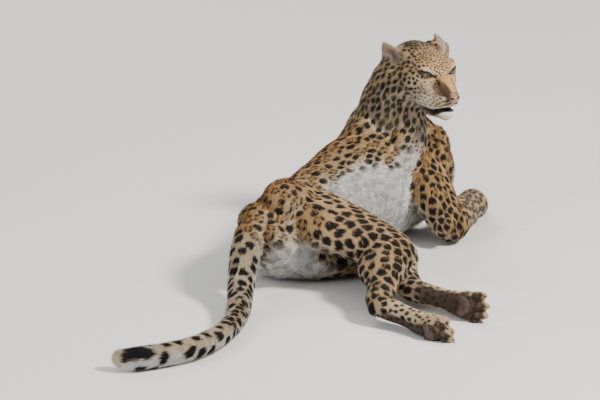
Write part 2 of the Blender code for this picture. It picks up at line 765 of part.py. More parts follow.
def build_paw(assembly, name, root, axes, size, ankle):
    """One paw on a flat rest; returns the plane that parts it from the leg."""
    foot, dorsal = axes
    sculpt = Sculpt()
    paw_forms(sculpt, root, foot, dorsal, size, ankle)
    paw = sculpt.finish(name, assembly.parts, PAW_SURFACE)
    centre = root - foot * PAW_CUT * CM
    assembly.trim(paw, centre, -foot, 20.0, shift=-GAP)
    assembly.flatten(paw)
    return centre, foot


def build_body(assembly, trunk, head, paw_planes):
    """Trunk, neck, legs and tail, parted from one merged body."""
    sculpt = Sculpt()
    trunk_forms(sculpt, trunk)
    neck_forms(sculpt)
    for side in (1.0, -1.0):
        hind_forms(sculpt, trunk, side)
        fore_forms(sculpt, side)
    tail_forms(sculpt, trunk)
    whole = sculpt.finish("chest", assembly.parts, BODY_SURFACE)
    assembly.flatten(whole)
    centre, normal = neck_plane(head)
    assembly.trim(whole, centre, normal, NECK_REACH)
    for centre, normal in paw_planes:
        assembly.trim(whole, centre, normal, 5.0)

    for side, name in ((1.0, "right"), (-1.0, "left")):
        joints = hind_joints(trunk, side)
        region = limb_region(lambda sculpt: hind_forms(sculpt, trunk, side), joints, HIND_CUT, assembly)
        thigh = assembly.carve(whole, region, "thigh_" + name)
        shank = assembly.split(thigh, joints[1], bisector(joints, 1), 24.0, "shank_" + name)
        assembly.split(shank, joints[2], bisector(joints, 2), 14.0, "foot_" + name)
        joints = fore_joints(side)
        region = limb_region(lambda sculpt: fore_forms(sculpt, side), joints, FORE_CUT, assembly)
        upper = assembly.carve(whole, region, "upper_arm_" + name)
        elbow = joints[1].lerp(joints[2], ELBOW_CUT)
        assembly.split(upper, elbow, bisector(joints, 1), 20.0, "forearm_" + name)

    tail_points = tail_path()
    tail = assembly.split(whole, tail_points[1], bisector(tail_points, 1), 40.0, "tail_1")
    for name, index in (("tail_2", 3), ("tail_3", 5), ("tail_4", 6)):
        tail = assembly.split(tail, tail_points[index], bisector(tail_points, index), 35.0, name)

    assembly.split(whole, point(NECK_BASE), aim(50.0, 40.0), 14.0, "neck")
    forward = trunk.frame(CHEST_CUT)[0]
    chest = assembly.split(whole, trunk.centre(CHEST_CUT), forward, 40.0, "upper_trunk")
    whole.name = "rump"
    forward = trunk.frame(RUMP_CUT)[0]
    assembly.split(whole, trunk.centre(RUMP_CUT), forward, 30.0, "belly")
    chest.name = "chest"


def ear_axes(head, side):
    """Base, upward and facing directions of the left (1) or right (-1) ear."""
    root, reach, opening = LEFT_EAR if side > 0.0 else RIGHT_EAR
    base = head.at(*root)
    upward = head.vector(*reach).normalized()
    facing = head.vector(*opening).normalized()
    across = upward.cross(facing).normalized()
    return base, upward, across.cross(upward)


def finish_materials(assembly):
    """Each piece in its own coat, eye or nose colour, flat on its cuts and smooth elsewhere."""
    for thing in assembly.parts.objects:
        kind = thing.name.split("_")[0]
        colour, roughness = COLOURS.get(kind, COLOURS["coat"])
        thing.data.materials.clear()
        thing.data.materials.append(make_material(thing.name, colour, roughness))
        thing.data.shade_smooth()
        thing.data.set_sharp_from_angle(angle=math.radians(SMOOTH_ANGLE))


def centre_on_origin(assembly):
    """Move every piece so that the origin is under the middle of the whole animal."""
    corners = [vert.co for thing in assembly.parts.objects for vert in thing.data.vertices]
    low = [min(place[axis] for place in corners) for axis in range(2)]
    high = [max(place[axis] for place in corners) for axis in range(2)]
    shift = Vector((-0.5 * (low[0] + high[0]), -0.5 * (low[1] + high[1]), 0.0))
    for thing in assembly.parts.objects:
        thing.data.transform(Matrix.Translation(shift))


def main():
    clean_scene()
    assembly = Assembly()
    trunk = Trunk()
    head = HeadFrame()
    build_head(assembly, head)
    planes = build_paws(assembly, trunk)
    build_body(assembly, trunk, head, planes)
    centre_on_origin(assembly)
    finish_materials(assembly)


main()
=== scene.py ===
"""Looks of the life-size lying leopard: skin, coat, eyes, nose, lips, whiskers, pads and claws.

The skin repeats the forms of the solids at a finer grid and lies inside them by the depth of the coat.
Lengths are in centimetres where a vector is built with point(), and in metres elsewhere.
"""
import bmesh
import bpy
import math
import numpy as np
from mathutils import Matrix, Vector, kdtree
from mathutils.bvhtree import BVHTree


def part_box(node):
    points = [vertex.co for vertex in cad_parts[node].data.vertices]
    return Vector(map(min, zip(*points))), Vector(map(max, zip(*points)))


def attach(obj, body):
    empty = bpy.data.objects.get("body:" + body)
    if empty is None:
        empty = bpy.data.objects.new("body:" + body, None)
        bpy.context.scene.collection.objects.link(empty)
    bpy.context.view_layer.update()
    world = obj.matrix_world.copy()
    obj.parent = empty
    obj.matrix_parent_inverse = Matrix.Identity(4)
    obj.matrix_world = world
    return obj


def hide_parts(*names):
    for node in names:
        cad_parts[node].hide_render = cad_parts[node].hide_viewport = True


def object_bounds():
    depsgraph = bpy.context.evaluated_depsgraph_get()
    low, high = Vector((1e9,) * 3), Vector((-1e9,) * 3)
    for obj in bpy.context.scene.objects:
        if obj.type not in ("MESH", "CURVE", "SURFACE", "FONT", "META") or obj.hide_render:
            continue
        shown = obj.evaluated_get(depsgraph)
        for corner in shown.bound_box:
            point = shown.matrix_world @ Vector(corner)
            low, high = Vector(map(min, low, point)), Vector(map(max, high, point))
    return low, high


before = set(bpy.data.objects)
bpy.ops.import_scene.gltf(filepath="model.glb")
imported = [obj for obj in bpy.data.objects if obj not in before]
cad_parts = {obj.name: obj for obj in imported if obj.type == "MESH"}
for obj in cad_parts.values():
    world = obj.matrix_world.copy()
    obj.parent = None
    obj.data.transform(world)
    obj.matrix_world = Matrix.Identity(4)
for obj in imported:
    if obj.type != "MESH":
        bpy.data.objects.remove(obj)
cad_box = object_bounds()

CM = 0.01
MM = 0.001
UP = Vector((0.0, 0.0, 1.0))
SIDES = (1.0, -1.0)
FLESH = ("belly", "chest", "ear_left", "ear_right", "foot_left", "foot_right", "fore_paw_left",
         "fore_paw_right", "forearm_left", "forearm_right", "head", "hind_paw_left", "hind_paw_right",
         "lower_jaw", "neck", "rump", "shank_left", "shank_right", "tail_1", "tail_2", "tail_3",
         "tail_4", "thigh_left", "thigh_right", "upper_arm_left", "upper_arm_right")

# Trunk: length from rump to chest front, heading at each end, and the rump's centre
TRUNK_LENGTH = 65.0
RUMP_CENTRE = (-5.5, -5.0, 9.6)
RUMP_HEADING = 76.0
CHEST_HEADING = 44.0
# Stations: share of the length, half width, half depth, centre height, roll onto the left side
TRUNK_STATIONS = (
    (0.00, 4.6, 5.4, 9.4, 56.0),
    (0.07, 7.6, 8.2, 9.0, 56.0),
    (0.20, 8.6, 9.2, 8.8, 54.0),
    (0.34, 7.9, 9.0, 8.8, 46.0),
    (0.48, 8.4, 9.8, 9.6, 34.0),
    (0.62, 9.3, 11.2, 10.5, 22.0),
    (0.76, 9.4, 12.0, 11.4, 12.0),
    (0.88, 8.6, 11.6, 12.2, 8.0),
    (0.96, 6.6, 9.2, 13.4, 6.0),
    (1.00, 4.2, 6.0, 14.0, 6.0),
)

# Head: midpoint between the eyes, heading and pitch of the muzzle
HEAD_ORIGIN = (27.5, 35.4, 33.9)
HEAD_HEADING = -52.0
HEAD_PITCH = -13.0
HEAD_SCALE = 0.95
EYE_RADIUS = 1.5
EYE_SPREAD = 3.2
EYE_DEPTH = -0.9
EYE_OUTWARD = 26.0
EYE_SLANT = 14.0
HEAD_UNIT = CM * HEAD_SCALE
EYE_SIZE = EYE_RADIUS * HEAD_SCALE * CM

# Ears: root on the skull, the way each points and the way it opens, the right one laid back
LEFT_EAR = ((-6.7, 5.0, -0.1), (-0.52, 0.48, 0.70), (0.90, 0.18, 0.25))
RIGHT_EAR = ((-7.2, -4.9, 0.6), (-0.88, -0.42, 0.20), (-0.05, -0.95, -0.20))

# Neck: centres and half thicknesses from the shoulders to the skull
NECK_STATIONS = (
    ((14.8, 41.6, 14.5), 9.6),
    ((17.6, 43.4, 19.8), 9.0),
    ((18.6, 43.0, 25.2), 7.7),
    ((20.3, 41.6, 30.6), 6.9),
)

# Legs: bone lengths and the heading and pitch of each bone
HIND_BONES = (21.0, 21.2, 13.5)
RIGHT_HIND_AIM = ((-45.0, -11.0), (-93.0, -14.0), (-47.0, -8.0))
LEFT_HIND_AIM = ((-8.0, 0.5), (-76.0, -4.0), (-46.0, -1.5))
HIP_SPREAD = 5.4
HIND_PAW = 1.0
HIND_ANKLE = ((0.0, 2.5, 2.3), (2.5, 2.2, 2.1), (5.0, 2.1, 2.1))
FORE_BONES = (17.5, 17.6, 4.5)
RIGHT_SHOULDER = (22.8, 42.6, 16.0)
LEFT_SHOULDER = (12.6, 50.4, 15.2)
RIGHT_FORE_AIM = ((-62.0, -40.0), (71.0, -2.0), (96.0, -14.0))
LEFT_FORE_AIM = ((-148.0, -38.0), (60.0, -1.0), (35.0, -14.0))
FORE_PAW = 1.12
FORE_ANKLE = ((0.0, 3.1, 2.7), (2.5, 3.0, 2.7), (5.0, 3.0, 2.8))

# Tail: length of each stretch with its heading and pitch, and its half thickness along the way
TAIL_ROOT = (-8.2, -3.0, 12.6)
TAIL_STRETCHES = (
    (8.0, -106.0, -22.0),
    (9.0, -97.0, -34.0),
    (9.5, -92.0, -12.0),
    (10.0, -95.0, -1.5),
    (10.5, -105.0, 0.0),
    (10.5, -120.0, 0.0),
    (10.5, -144.0, 0.0),
    (4.0, -176.0, 0.0),
)
TAIL_ROOT_HALF = 3.5
TAIL_MID_HALF = 2.25
TAIL_END_HALF = 2.5

# Grid in metres and rounds of smoothing of the skin, the nose leather and the pads
SKIN_GRID = (0.0018, 6)
NOSE_GRID = (0.0009, 4)
PAD_GRID = (0.0012, 3)
SKIN_TRIANGLES = 186000
# Least height over the floor in metres
FLOOR_CLEAR = 0.0004

def point(values):
    """A place given in centimetres, as a vector in metres."""
    return Vector(values) * CM


def aim(heading, pitch):
    """Unit vector from a heading in the floor plane and a pitch above it, in degrees."""
    turn, rise = math.radians(heading), math.radians(pitch)
    return Vector((math.cos(turn) * math.cos(rise), math.sin(turn) * math.cos(rise), math.sin(rise)))


def blend(low, high, share):
    return low + (high - low) * share


def ease(share):
    """Smooth start and end of a share from 0 to 1."""
    return share * share * (3.0 - 2.0 * share)


def table(rows, share, column):
    """Smooth value of one column of a station table at a share of the length."""
    for before, after in zip(rows, rows[1:]):
        if share <= after[0]:
            part = (share - before[0]) / (after[0] - before[0])
            return blend(before[column], after[column], ease(part) * 0.5 + part * 0.5)
    return rows[-1][column]


def clamp(values):
    return np.clip(values, 0.0, 1.0)


def step(value, low, high):
    """Smooth step from 0 at low to 1 at high, on arrays."""
    return ease(clamp((value - low) / (high - low)))


def span(value, low, full, still, high):
    """Smooth step up from low to full and down again from still to high."""
    return step(value, low, full) * step(-value, -high, -still)


def band(value, middle, half, edge):
    """1 within half of the middle, fading out over the edge."""
    return clamp((half + edge - np.abs(value - middle)) / edge)


def hump(*parts):
    """1 in the middle of all parts, given as (value, middle, width), and falling off smoothly."""
    return np.exp(-sum(((value - middle) / width) ** 2.0 for value, middle, width in parts))


def mix(first, second, share):
    """Blend of two colours by an array of shares."""
    share = np.asarray(share)[..., None]
    return np.asarray(first) * (1.0 - share) + np.asarray(second) * share


def dots(first, second):
    """Dot product of each row with the same row of the other array."""
    return np.einsum("ij,ij->i", first, second)


def unit(vectors):
    return vectors / np.maximum(np.linalg.norm(vectors, axis=-1, keepdims=True), 1e-12)


def turned_by(first, second, angle):
    """Each first direction turned by its angle towards the second."""
    return first * np.cos(angle)[:, None] + second * np.sin(angle)[:, None]


def read(items, name, width=3, kind=np.float32):
    """One value of every item of a mesh, one row each."""
    values = np.empty(len(items) * width, kind)
    items.foreach_get(name, values)
    return values.reshape(-1, width)


def coordinates(mesh):
    return read(mesh.vertices, "co").astype(float)


def normals_of(mesh):
    return read(mesh.vertex_normals, "vector").astype(float)


def set_coordinates(mesh, places):
    mesh.vertices.foreach_set("co", places.astype(np.float32).ravel())
    mesh.update()


def above_floor(places):
    """Keeps an array of places, in its last axis, clear of the floor."""
    places[..., 2] = np.maximum(places[..., 2], FLOOR_CLEAR)
    return places


def set_colours(mesh, colours):
    values = np.ones((len(mesh.vertices), 4), np.float32)
    values[:, :3] = colours
    mesh.color_attributes.new("coat", "FLOAT_COLOR", "POINT").data.foreach_set("color", values.ravel())


def link(name, data):
    thing = bpy.data.objects.new(name, data)
    bpy.context.scene.collection.objects.link(thing)
    return thing


def evaluated(thing):
    """The object with its modifiers applied."""
    bpy.context.view_layer.update()
    graph = bpy.context.evaluated_depsgraph_get()
    mesh = bpy.data.meshes.new_from_object(thing.evaluated_get(graph))
    thing.modifiers.clear()
    thing.data = mesh
    return thing


def piece(name, solid, material=None):
    """A smoothly shaded object from a bmesh, with its faces turned outwards."""
    bmesh.ops.recalc_face_normals(solid, faces=solid.faces)
    mesh = bpy.data.meshes.new(name)
    solid.to_mesh(mesh)
    solid.free()
    mesh.shade_smooth()
    if material:
        mesh.materials.append(material)
    return link(name, mesh)


def join_rings(solid, rings, sides, poles=(None, None)):
    """Tube in a bmesh through rings, each a centre and two half axes; its ends are flat or run to poles."""
    loops = []
    for centre, across, along in rings:
        turns = [2.0 * math.pi * index / sides for index in range(sides)]
        loops.append([solid.verts.new(centre + across * math.cos(turn) + along * math.sin(turn))
                      for turn in turns])
    for first, second in zip(loops, loops[1:]):
        for index in range(sides):
            other = (index + 1) % sides
            solid.faces.new((first[index], first[other], second[other], second[index]))
    for loop, pole in zip((loops[0][::-1], loops[-1]), poles):
        if pole is None:
            solid.faces.new(loop)
        else:
            top = solid.verts.new(pole)
            for first, second in zip(loop, loop[1:] + loop[:1]):
                solid.faces.new((first, second, top))


class Sculpt:
    """A set of closed forms that a voxel remesh merges into one smooth body."""

    def __init__(self):
        self.mesh = bmesh.new()

    def ball(self, centre, axes, detail=4):
        """Ellipsoid whose half axes are the three vectors."""
        matrix = Matrix((axes[0], axes[1], axes[2])).transposed().to_4x4()
        matrix.translation = centre
        bmesh.ops.create_icosphere(self.mesh, subdivisions=detail, radius=1.0, matrix=matrix)

    def mass(self, centre, directions, halves, unit_length=CM):
        """Ellipsoid from three directions and half axes in a unit of length."""
        self.ball(centre, [way * half * unit_length for way, half in zip(directions, halves)])

    def loft(self, rings, sides=36):
        join_rings(self.mesh, rings, sides)

    def finish(self, name, voxel, smoothing):
        """Merged and smoothed into one closed mesh."""
        thing = piece(name, self.mesh)
        remesh = thing.modifiers.new("merge", "REMESH")
        remesh.mode = "VOXEL"
        remesh.voxel_size = voxel
        smooth = thing.modifiers.new("smooth", "SMOOTH")
        smooth.factor = 0.5
        smooth.iterations = smoothing
        return evaluated(thing)


def smooth_path(points, steps):
    """Catmull-Rom curve through the points, with the share of the way at each step."""
    padded = [points[0] * 2.0 - points[1]] + list(points) + [points[-1] * 2.0 - points[-2]]
    path = []
    for index in range(len(points) - 1):
        a, b, c, d = padded[index:index + 4]
        for number in range(steps):
            t = number / steps
            place = 0.5 * (2.0 * b + (c - a) * t + (2.0 * a - 5.0 * b + 4.0 * c - d) * t * t
                           + (3.0 * b - a - 3.0 * c + d) * t * t * t)
            path.append((place, index + t))
    return path + [(points[-1], float(len(points) - 1))]


def headings(path):
    """Direction of travel at each place of a path."""
    around = zip(path[:1] + path[:-1], path[1:] + path[-1:])
    return [(after - before).normalized() for before, after in around]


def tube_rings(points, halves, side_hint, steps=6):
    """Rings along a smooth path; halves gives (across the hint, along the hint) at each point."""
    path = smooth_path(points, steps)
    rings = []
    for (place, along), forward in zip(path, headings([place for place, _ in path])):
        side = (side_hint - forward * side_hint.dot(forward)).normalized()
        low = min(int(along), len(halves) - 2)
        share = ease(along - low)
        wide, deep = [blend(halves[low][k], halves[low + 1][k], share) for k in (0, 1)]
        rings.append((place, forward.cross(side) * wide * CM, side * deep * CM))
    return round_ends(rings)


def round_ends(rings):
    """The same rings with a shallow dome at each end."""
    domes = []
    for last, inner in ((rings[0], rings[1]), (rings[-1], rings[-2])):
        away = (last[0] - inner[0]).normalized()
        half = min(last[1].length, last[2].length)
        dome = []
        for share in (0.55, 0.85):
            shrink = math.sqrt(1.0 - share * share)
            dome.append((last[0] + away * half * share, last[1] * shrink, last[2] * shrink))
        domes.append(dome)
    return domes[0][::-1] + rings + domes[1]


def chain(start, aims, lengths):
    """Joints of a limb from its root, the aims of its bones and their lengths."""
    joints = [start]
    for (heading, pitch), length in zip(aims, lengths):
        joints.append(joints[-1] + aim(heading, pitch) * length * CM)
    return joints


class Trunk:
    """Centre line of the trunk, with its body frame at any share of its length."""

    steps = 52

    def __init__(self):
        self.places = [point(RUMP_CENTRE)]
        for index in range(self.steps):
            heading = blend(RUMP_HEADING, CHEST_HEADING, (index + 0.5) / self.steps)
            self.places.append(self.places[-1] + aim(heading, 0.0) * TRUNK_LENGTH * CM / self.steps)

    def centre(self, share):
        low = min(int(share * self.steps), self.steps - 1)
        place = self.places[low].lerp(self.places[low + 1], share * self.steps - low)
        place.z = table(TRUNK_STATIONS, share, 3) * CM
        return place

    def frame(self, share):
        """Forward, right and back (dorsal) directions, rolled onto the left side."""
        forward = aim(blend(RUMP_HEADING, CHEST_HEADING, share), 0.0)
        right = forward.cross(UP)
        roll = math.radians(table(TRUNK_STATIONS, share, 4))
        back = UP * math.cos(roll) - right * math.sin(roll)
        return forward, right * math.cos(roll) + UP * math.sin(roll), back

    def spot(self, share, right, up):
        """A place beside the centre line, in centimetres to the right and towards the back."""
        _, side, back = self.frame(share)
        return self.centre(share) + side * right * CM + back * up * CM

    def rings(self, count=27):
        rings = []
        for index in range(count):
            share = index / (count - 1.0)
            _, side, back = self.frame(share)
            wide, deep = [table(TRUNK_STATIONS, share, column) * CM for column in (1, 2)]
            rings.append((self.centre(share), side * wide, back * deep))
        return round_ends(rings)


class HeadFrame:
    """Head coordinates: forward along the muzzle, left, and up, from between the eyes."""

    def __init__(self):
        self.origin = point(HEAD_ORIGIN)
        self.forward = aim(HEAD_HEADING, HEAD_PITCH)
        self.left = UP.cross(self.forward).normalized()
        self.up = self.forward.cross(self.left)
        self.axes = np.array((self.forward, self.left, self.up))

    def at(self, x, y, z):
        return self.origin + self.vector(x, y, z)

    def vector(self, x, y, z):
        return (self.forward * x + self.left * y + self.up * z) * CM * HEAD_SCALE

    def turned(self, half, yaw=0.0, pitch=0.0, roll=0.0):
        """Half axes of an ellipsoid turned in the head frame, in centimetres and degrees."""
        turn = Matrix.Rotation(math.radians(yaw), 3, "Z") @ Matrix.Rotation(math.radians(-pitch), 3, "Y")
        turn = turn @ Matrix.Rotation(math.radians(roll), 3, "X")
        return [self.vector(*(turn.col[index] * half[index])) for index in range(3)]

    def local(self, places):
        """Head coordinates of an array of places."""
        return (places - np.array(self.origin)) @ self.axes.T / HEAD_UNIT

    def eye(self, side):
        """Centre of an eye and its outward, lateral and upward unit axes."""
        centre = self.at(EYE_DEPTH, side * EYE_SPREAD, 0.0)
        axes = self.turned((1.0, 1.0, 1.0), yaw=side * EYE_OUTWARD, roll=side * EYE_SLANT)
        outward, lateral, upward = [axis.normalized() for axis in axes]
        return centre, outward, lateral * side, upward

    def ear(self, side):
        """Base, upward and facing directions of the left (1) or right (-1) ear."""
        root, reach, opening = LEFT_EAR if side > 0.0 else RIGHT_EAR
        upward = self.vector(*reach).normalized()
        facing = self.vector(*opening).normalized()
        return self.at(*root), upward, upward.cross(facing).normalized().cross(upward)


# Forms of the head: centre, half axes, yaw and pitch in degrees; those beside the middle are on both sides
SKULL = (
    ((-6.3, 0.0, -0.2), (6.3, 5.3, 3.8), 0.0, -6.0),
    ((-8.0, 0.0, -1.6), (5.4, 5.8, 5.2), 0.0, 0.0),
    ((-2.2, 0.0, 0.5), (4.2, 4.1, 2.8), 0.0, -24.0),
    ((1.9, 0.0, -1.9), (4.8, 2.0, 1.9), 0.0, -19.0),
    ((1.9, 0.0, -4.2), (3.6, 2.5, 2.6), 0.0, -6.0),
    ((-1.5, 0.0, -3.4), (5.4, 4.5, 3.6), 0.0, -4.0),
    ((1.6, 0.0, -7.5), (4.3, 2.6, 2.0), 0.0, 4.0),
    ((4.0, 0.0, -7.7), (1.6, 1.7, 1.6), 0.0, 0.0),
    ((5.0, 0.0, -3.1), (1.35, 1.3, 1.15), 0.0, -24.0),
    ((4.8, 0.0, -4.9), (0.95, 1.1, 1.5), 0.0, 0.0),
    ((-4.8, 0.0, -5.6), (4.6, 4.8, 3.4), 0.0, 0.0),
    ((-0.8, 0.0, -7.5), (4.3, 3.2, 2.5), 0.0, -4.0),
    ((-3.8, 4.0, -2.7), (4.6, 3.0, 3.6), -14.0, 0.0),
    ((-1.7, 3.3, 0.9), (2.1, 1.6, 1.05), -34.0, 0.0),
    ((-0.4, 3.4, -2.4), (2.6, 1.8, 1.5), -30.0, 0.0),
    ((3.0, 1.55, -4.9), (2.4, 1.70, 2.1), -15.0, -4.0),
    ((0.2, 2.9, -5.5), (4.2, 1.7, 2.3), -18.0, 0.0),
    ((-7.6, 4.0, 1.4), (2.4, 1.9, 2.2), 0.0, 0.0),
)
NOSE = (
    ((5.60, 0.0, -2.75), (0.85, 1.30, 0.66), 0.0, -28.0),
    ((5.75, 0.0, -3.40), (0.80, 1.05, 0.75), 0.0, 0.0),
    ((5.75, 0.0, -4.10), (0.55, 0.55, 0.72), 0.0, 0.0),
    ((5.45, 0.95, -3.40), (0.85, 0.48, 0.62), 20.0, 0.0),
)
# Leaves that make up an ear, and how far they wrap round it to each side, in degrees
EAR_SHEETS = 13
EAR_WRAP = 66.0


def head_forms(sculpt, head, rows):
    for side in SIDES:
        for (x, y, z), half, yaw, pitch in rows:
            if y or side > 0.0:
                sculpt.ball(head.at(x, side * y, z), head.turned(half, side * yaw, pitch))


def ear_forms(sculpt, head):
    """Rounded ears, each a bent leaf that opens forwards and outwards."""
    for side in SIDES:
        base, upward, facing = head.ear(side)
        across = upward.cross(facing)
        for index in range(EAR_SHEETS):
            turn = math.radians(blend(-EAR_WRAP, EAR_WRAP, index / (EAR_SHEETS - 1)))
            place = base + across * math.sin(turn) * 2.5 * CM
            place -= facing * (math.cos(turn) - 0.55) * 2.0 * CM
            height = (4.7 - 1.1 * abs(math.sin(turn)) ** 2) * CM
            out = across * math.cos(turn) + facing * math.sin(turn)
            leaf = (upward * height * 0.62, out * 0.9 * CM, out.cross(upward) * 0.40 * CM)
            sculpt.ball(place + upward * height * 0.44, leaf, 3)


def eye_forms(sculpt, head):
    """Full lids round each eye, which the lid opening is cut into later."""
    for side in SIDES:
        centre, outward, lateral, upward = head.eye(side)
        sculpt.ball(centre, (outward * EYE_SIZE * 1.12, lateral * EYE_SIZE * 1.16, upward * EYE_SIZE * 1.12))


# Masses on both sides of the trunk and in its middle: share of the length for the frame and the centre,
# centimetres to the right and towards the back, and half axes
SIDE_MASSES = ((0.9, 0.90, 6.0, -0.5, (5.6, 6.8, 3.9)), (0.16, 0.17, 4.9, 1.8, (9.4, 7.0, 5.0)))
MIDDLE_MASSES = ((0.93, 0.0, -3.6, (7.2, 5.6, 6.8)), (0.80, 0.0, 8.6, (10.5, 4.2, 5.2)),
                 (0.45, 0.6, -4.6, (14.0, 6.4, 6.2)))


def trunk_forms(sculpt, trunk):
    """Rib cage, belly, rump and the masses of shoulder, breast and haunch."""
    sculpt.loft(trunk.rings(), 56)
    for side in SIDES:
        forward, lateral, back = trunk.frame(0.80)
        blade = (forward * 5.0 + back * 8.6) * CM
        cross = (forward * 4.4 - back * 2.3) * CM
        sculpt.ball(trunk.spot(0.79, side * 6.6, 5.6), (blade, cross, lateral * 3.1 * CM))
        for frame_share, share, right, up, halves in SIDE_MASSES:
            forward, lateral, back = trunk.frame(frame_share)
            sculpt.mass(trunk.spot(share, side * right, up), (forward, back, lateral), halves)
    for share, right, up, halves in MIDDLE_MASSES:
        sculpt.mass(trunk.spot(share, right, up), trunk.frame(share), halves)


def neck_forms(sculpt):
    halves = [(half, half * 0.92) for _, half in NECK_STATIONS]
    sculpt.loft(tube_rings([point(place) for place, _ in NECK_STATIONS], halves, aim(10.0, -35.0)))


def hind_joints(trunk, side):
    """Hip, knee, hock and paw root of the right (1) or left (-1) hind leg."""
    hip = trunk.spot(0.20, side * HIP_SPREAD, -0.6)
    return chain(hip, RIGHT_HIND_AIM if side > 0 else LEFT_HIND_AIM, HIND_BONES)


def fore_joints(side):
    """Shoulder, elbow, wrist and paw root of the right (1) or left (-1) foreleg."""
    if side > 0:
        return chain(point(RIGHT_SHOULDER), RIGHT_FORE_AIM, FORE_BONES)
    return chain(point(LEFT_SHOULDER), LEFT_FORE_AIM, FORE_BONES)


def hind_forms(sculpt, trunk, side):
    hip, knee, hock, paw = hind_joints(trunk, side)
    heel = hock + (hock - knee).normalized() * 0.012
    middle = hock.lerp(paw, 0.55)
    halves = [(8.4, 4.4), (8.2, 4.6), (5.8, 4.3), (4.6, 3.7), (3.0, 2.6), (2.8, 2.4), (2.3, 2.1)]
    path = [hip, hip.lerp(knee, 0.45), knee, knee.lerp(hock, 0.32), knee.lerp(hock, 0.72), hock, middle]
    sculpt.loft(tube_rings(path, halves, UP))
    sculpt.loft(tube_rings([hock, middle, paw], [(2.4, 2.2), (2.15, 2.1), (2.5, 2.6)], UP))
    bone = (knee - hip).normalized()
    rear = bone.cross(UP).normalized()
    if rear.dot(hock - knee) < 0.0:
        rear.negate()
    thigh = (bone, rear, UP)
    sculpt.mass(hip.lerp(knee, 0.30) + rear * 2.6 * CM, thigh, (10.5, 7.2, 4.7))
    sculpt.mass(hip.lerp(knee, 0.62) - rear * 1.4 * CM, thigh, (8.6, 5.4, 4.2))
    sculpt.mass(knee, thigh, (3.9, 4.4, 3.7))
    shank = (hock - knee).normalized()
    back = shank.cross(UP).normalized()
    if back.dot(paw - hock) > 0.0:
        back.negate()
    calf = (shank, back, UP)
    sculpt.mass(knee.lerp(hock, 0.30) + back * 1.1 * CM, calf, (7.2, 4.1, 3.5))
    sculpt.loft(tube_rings([knee.lerp(hock, 0.62) + back * 1.6 * CM, heel + back * 1.4 * CM],
                           [(1.5, 1.5), (1.35, 1.5)], UP))
    sculpt.mass(heel + back * 0.9 * CM - shank * 0.4 * CM, calf, (2.2, 1.9, 2.0))


def fore_forms(sculpt, side):
    shoulder, elbow, wrist, paw = fore_joints(side)
    upper = (elbow - shoulder).normalized()
    fore = (wrist - elbow).normalized()
    across = upper.cross(fore).normalized()
    middle = shoulder.lerp(elbow, 0.5)
    halves = [(5.4, 4.4), (5.2, 4.3), (4.3, 3.9), (4.1, 3.8), (3.1, 3.1), (3.3, 3.0), (3.2, 2.8)]
    path = [shoulder, middle, elbow, elbow.lerp(wrist, 0.30), elbow.lerp(wrist, 0.75), wrist,
            wrist.lerp(paw, 0.8)]
    sculpt.loft(tube_rings(path, halves, across))
    sculpt.mass(elbow - fore * 2.4 * CM, (fore, upper, across), (3.3, 3.2, 3.0))
    rear = (upper - fore * upper.dot(fore)).normalized()
    sculpt.mass(middle - fore * 2.6 * CM, (upper, fore, across), (8.2, 4.6, 4.1))
    sculpt.mass(shoulder - upper * 1.5 * CM, (upper, fore, across), (6.2, 5.0, 4.4))
    sculpt.mass(elbow.lerp(wrist, 0.28) + rear * 0.3 * CM, (fore, rear, across), (7.0, 3.9, 3.7))


class Paw:
    """Place, directions and size of one paw."""

    def __init__(self, name, root, forward, dorsal, size, ankle):
        self.name = name
        self.root = root
        self.forward = forward.normalized()
        self.side = dorsal.cross(self.forward).normalized()
        self.dorsal = self.forward.cross(self.side).normalized()
        self.unit = size * CM
        self.ankle = ankle

    def at(self, forward, side, dorsal):
        return self.root + (self.forward * forward + self.side * side + self.dorsal * dorsal) * self.unit

    def toes(self):
        """Middle, aim and upward direction of each toe."""
        for index in range(4):
            spread = index - 1.5
            reach = 5.6 - 0.55 * spread * spread
            aimed = (self.forward + self.side * spread * 0.13 - self.dorsal * 0.22).normalized()
            yield self.at(reach - 1.4, spread * 1.62, 0.15), aimed, aimed.cross(self.side).normalized()

    def forms(self, sculpt):
        """Broad paw with four toes, and the end of the limb."""
        size = self.unit
        axes = (self.forward, self.side, self.dorsal)
        for offset, wide, deep in self.ankle:
            sculpt.mass(self.root - self.forward * offset * CM, axes, (3.2, wide, deep))
        sculpt.mass(self.at(1.2, 0.0, 0.0), axes, (4.0, 3.1, 2.3), size)
        sculpt.mass(self.at(1.9, 0.0, -1.0), axes, (2.3, 2.7, 1.7), size)
        for middle, aimed, over in self.toes():
            toe = (aimed, self.side, over)
            sculpt.mass(middle, toe, (2.7, 1.02, 1.45), size)
            sculpt.mass(middle + (aimed * 1.2 - self.dorsal * 0.35) * size, toe, (1.35, 0.92, 1.15), size)


def all_paws(trunk):
    paws = []
    for side, name in zip(SIDES, ("right", "left")):
        hock, root = hind_joints(trunk, side)[2:]
        foot = (root - hock).normalized()
        dorsal = (UP.cross(foot).normalized() + Vector((0.0, 0.0, 0.20 * side))).normalized()
        paws.append(Paw("hind_" + name, root, foot, dorsal, HIND_PAW, HIND_ANKLE))
        wrist, root = fore_joints(side)[2:]
        paws.append(Paw("fore_" + name, root, root - wrist, UP, FORE_PAW, FORE_ANKLE))
    return paws


def tail_path():
    points = [point(TAIL_ROOT)]
    for length, heading, pitch in TAIL_STRETCHES:
        points.append(points[-1] + aim(heading, pitch) * length * CM)
    return points


def beyond_tail(places):
    """Centimetres past the end of the tail's last stretch, along it."""
    root, end = [np.array(place) for place in tail_path()[-2:]]
    return (places - end) @ unit(end - root) / CM


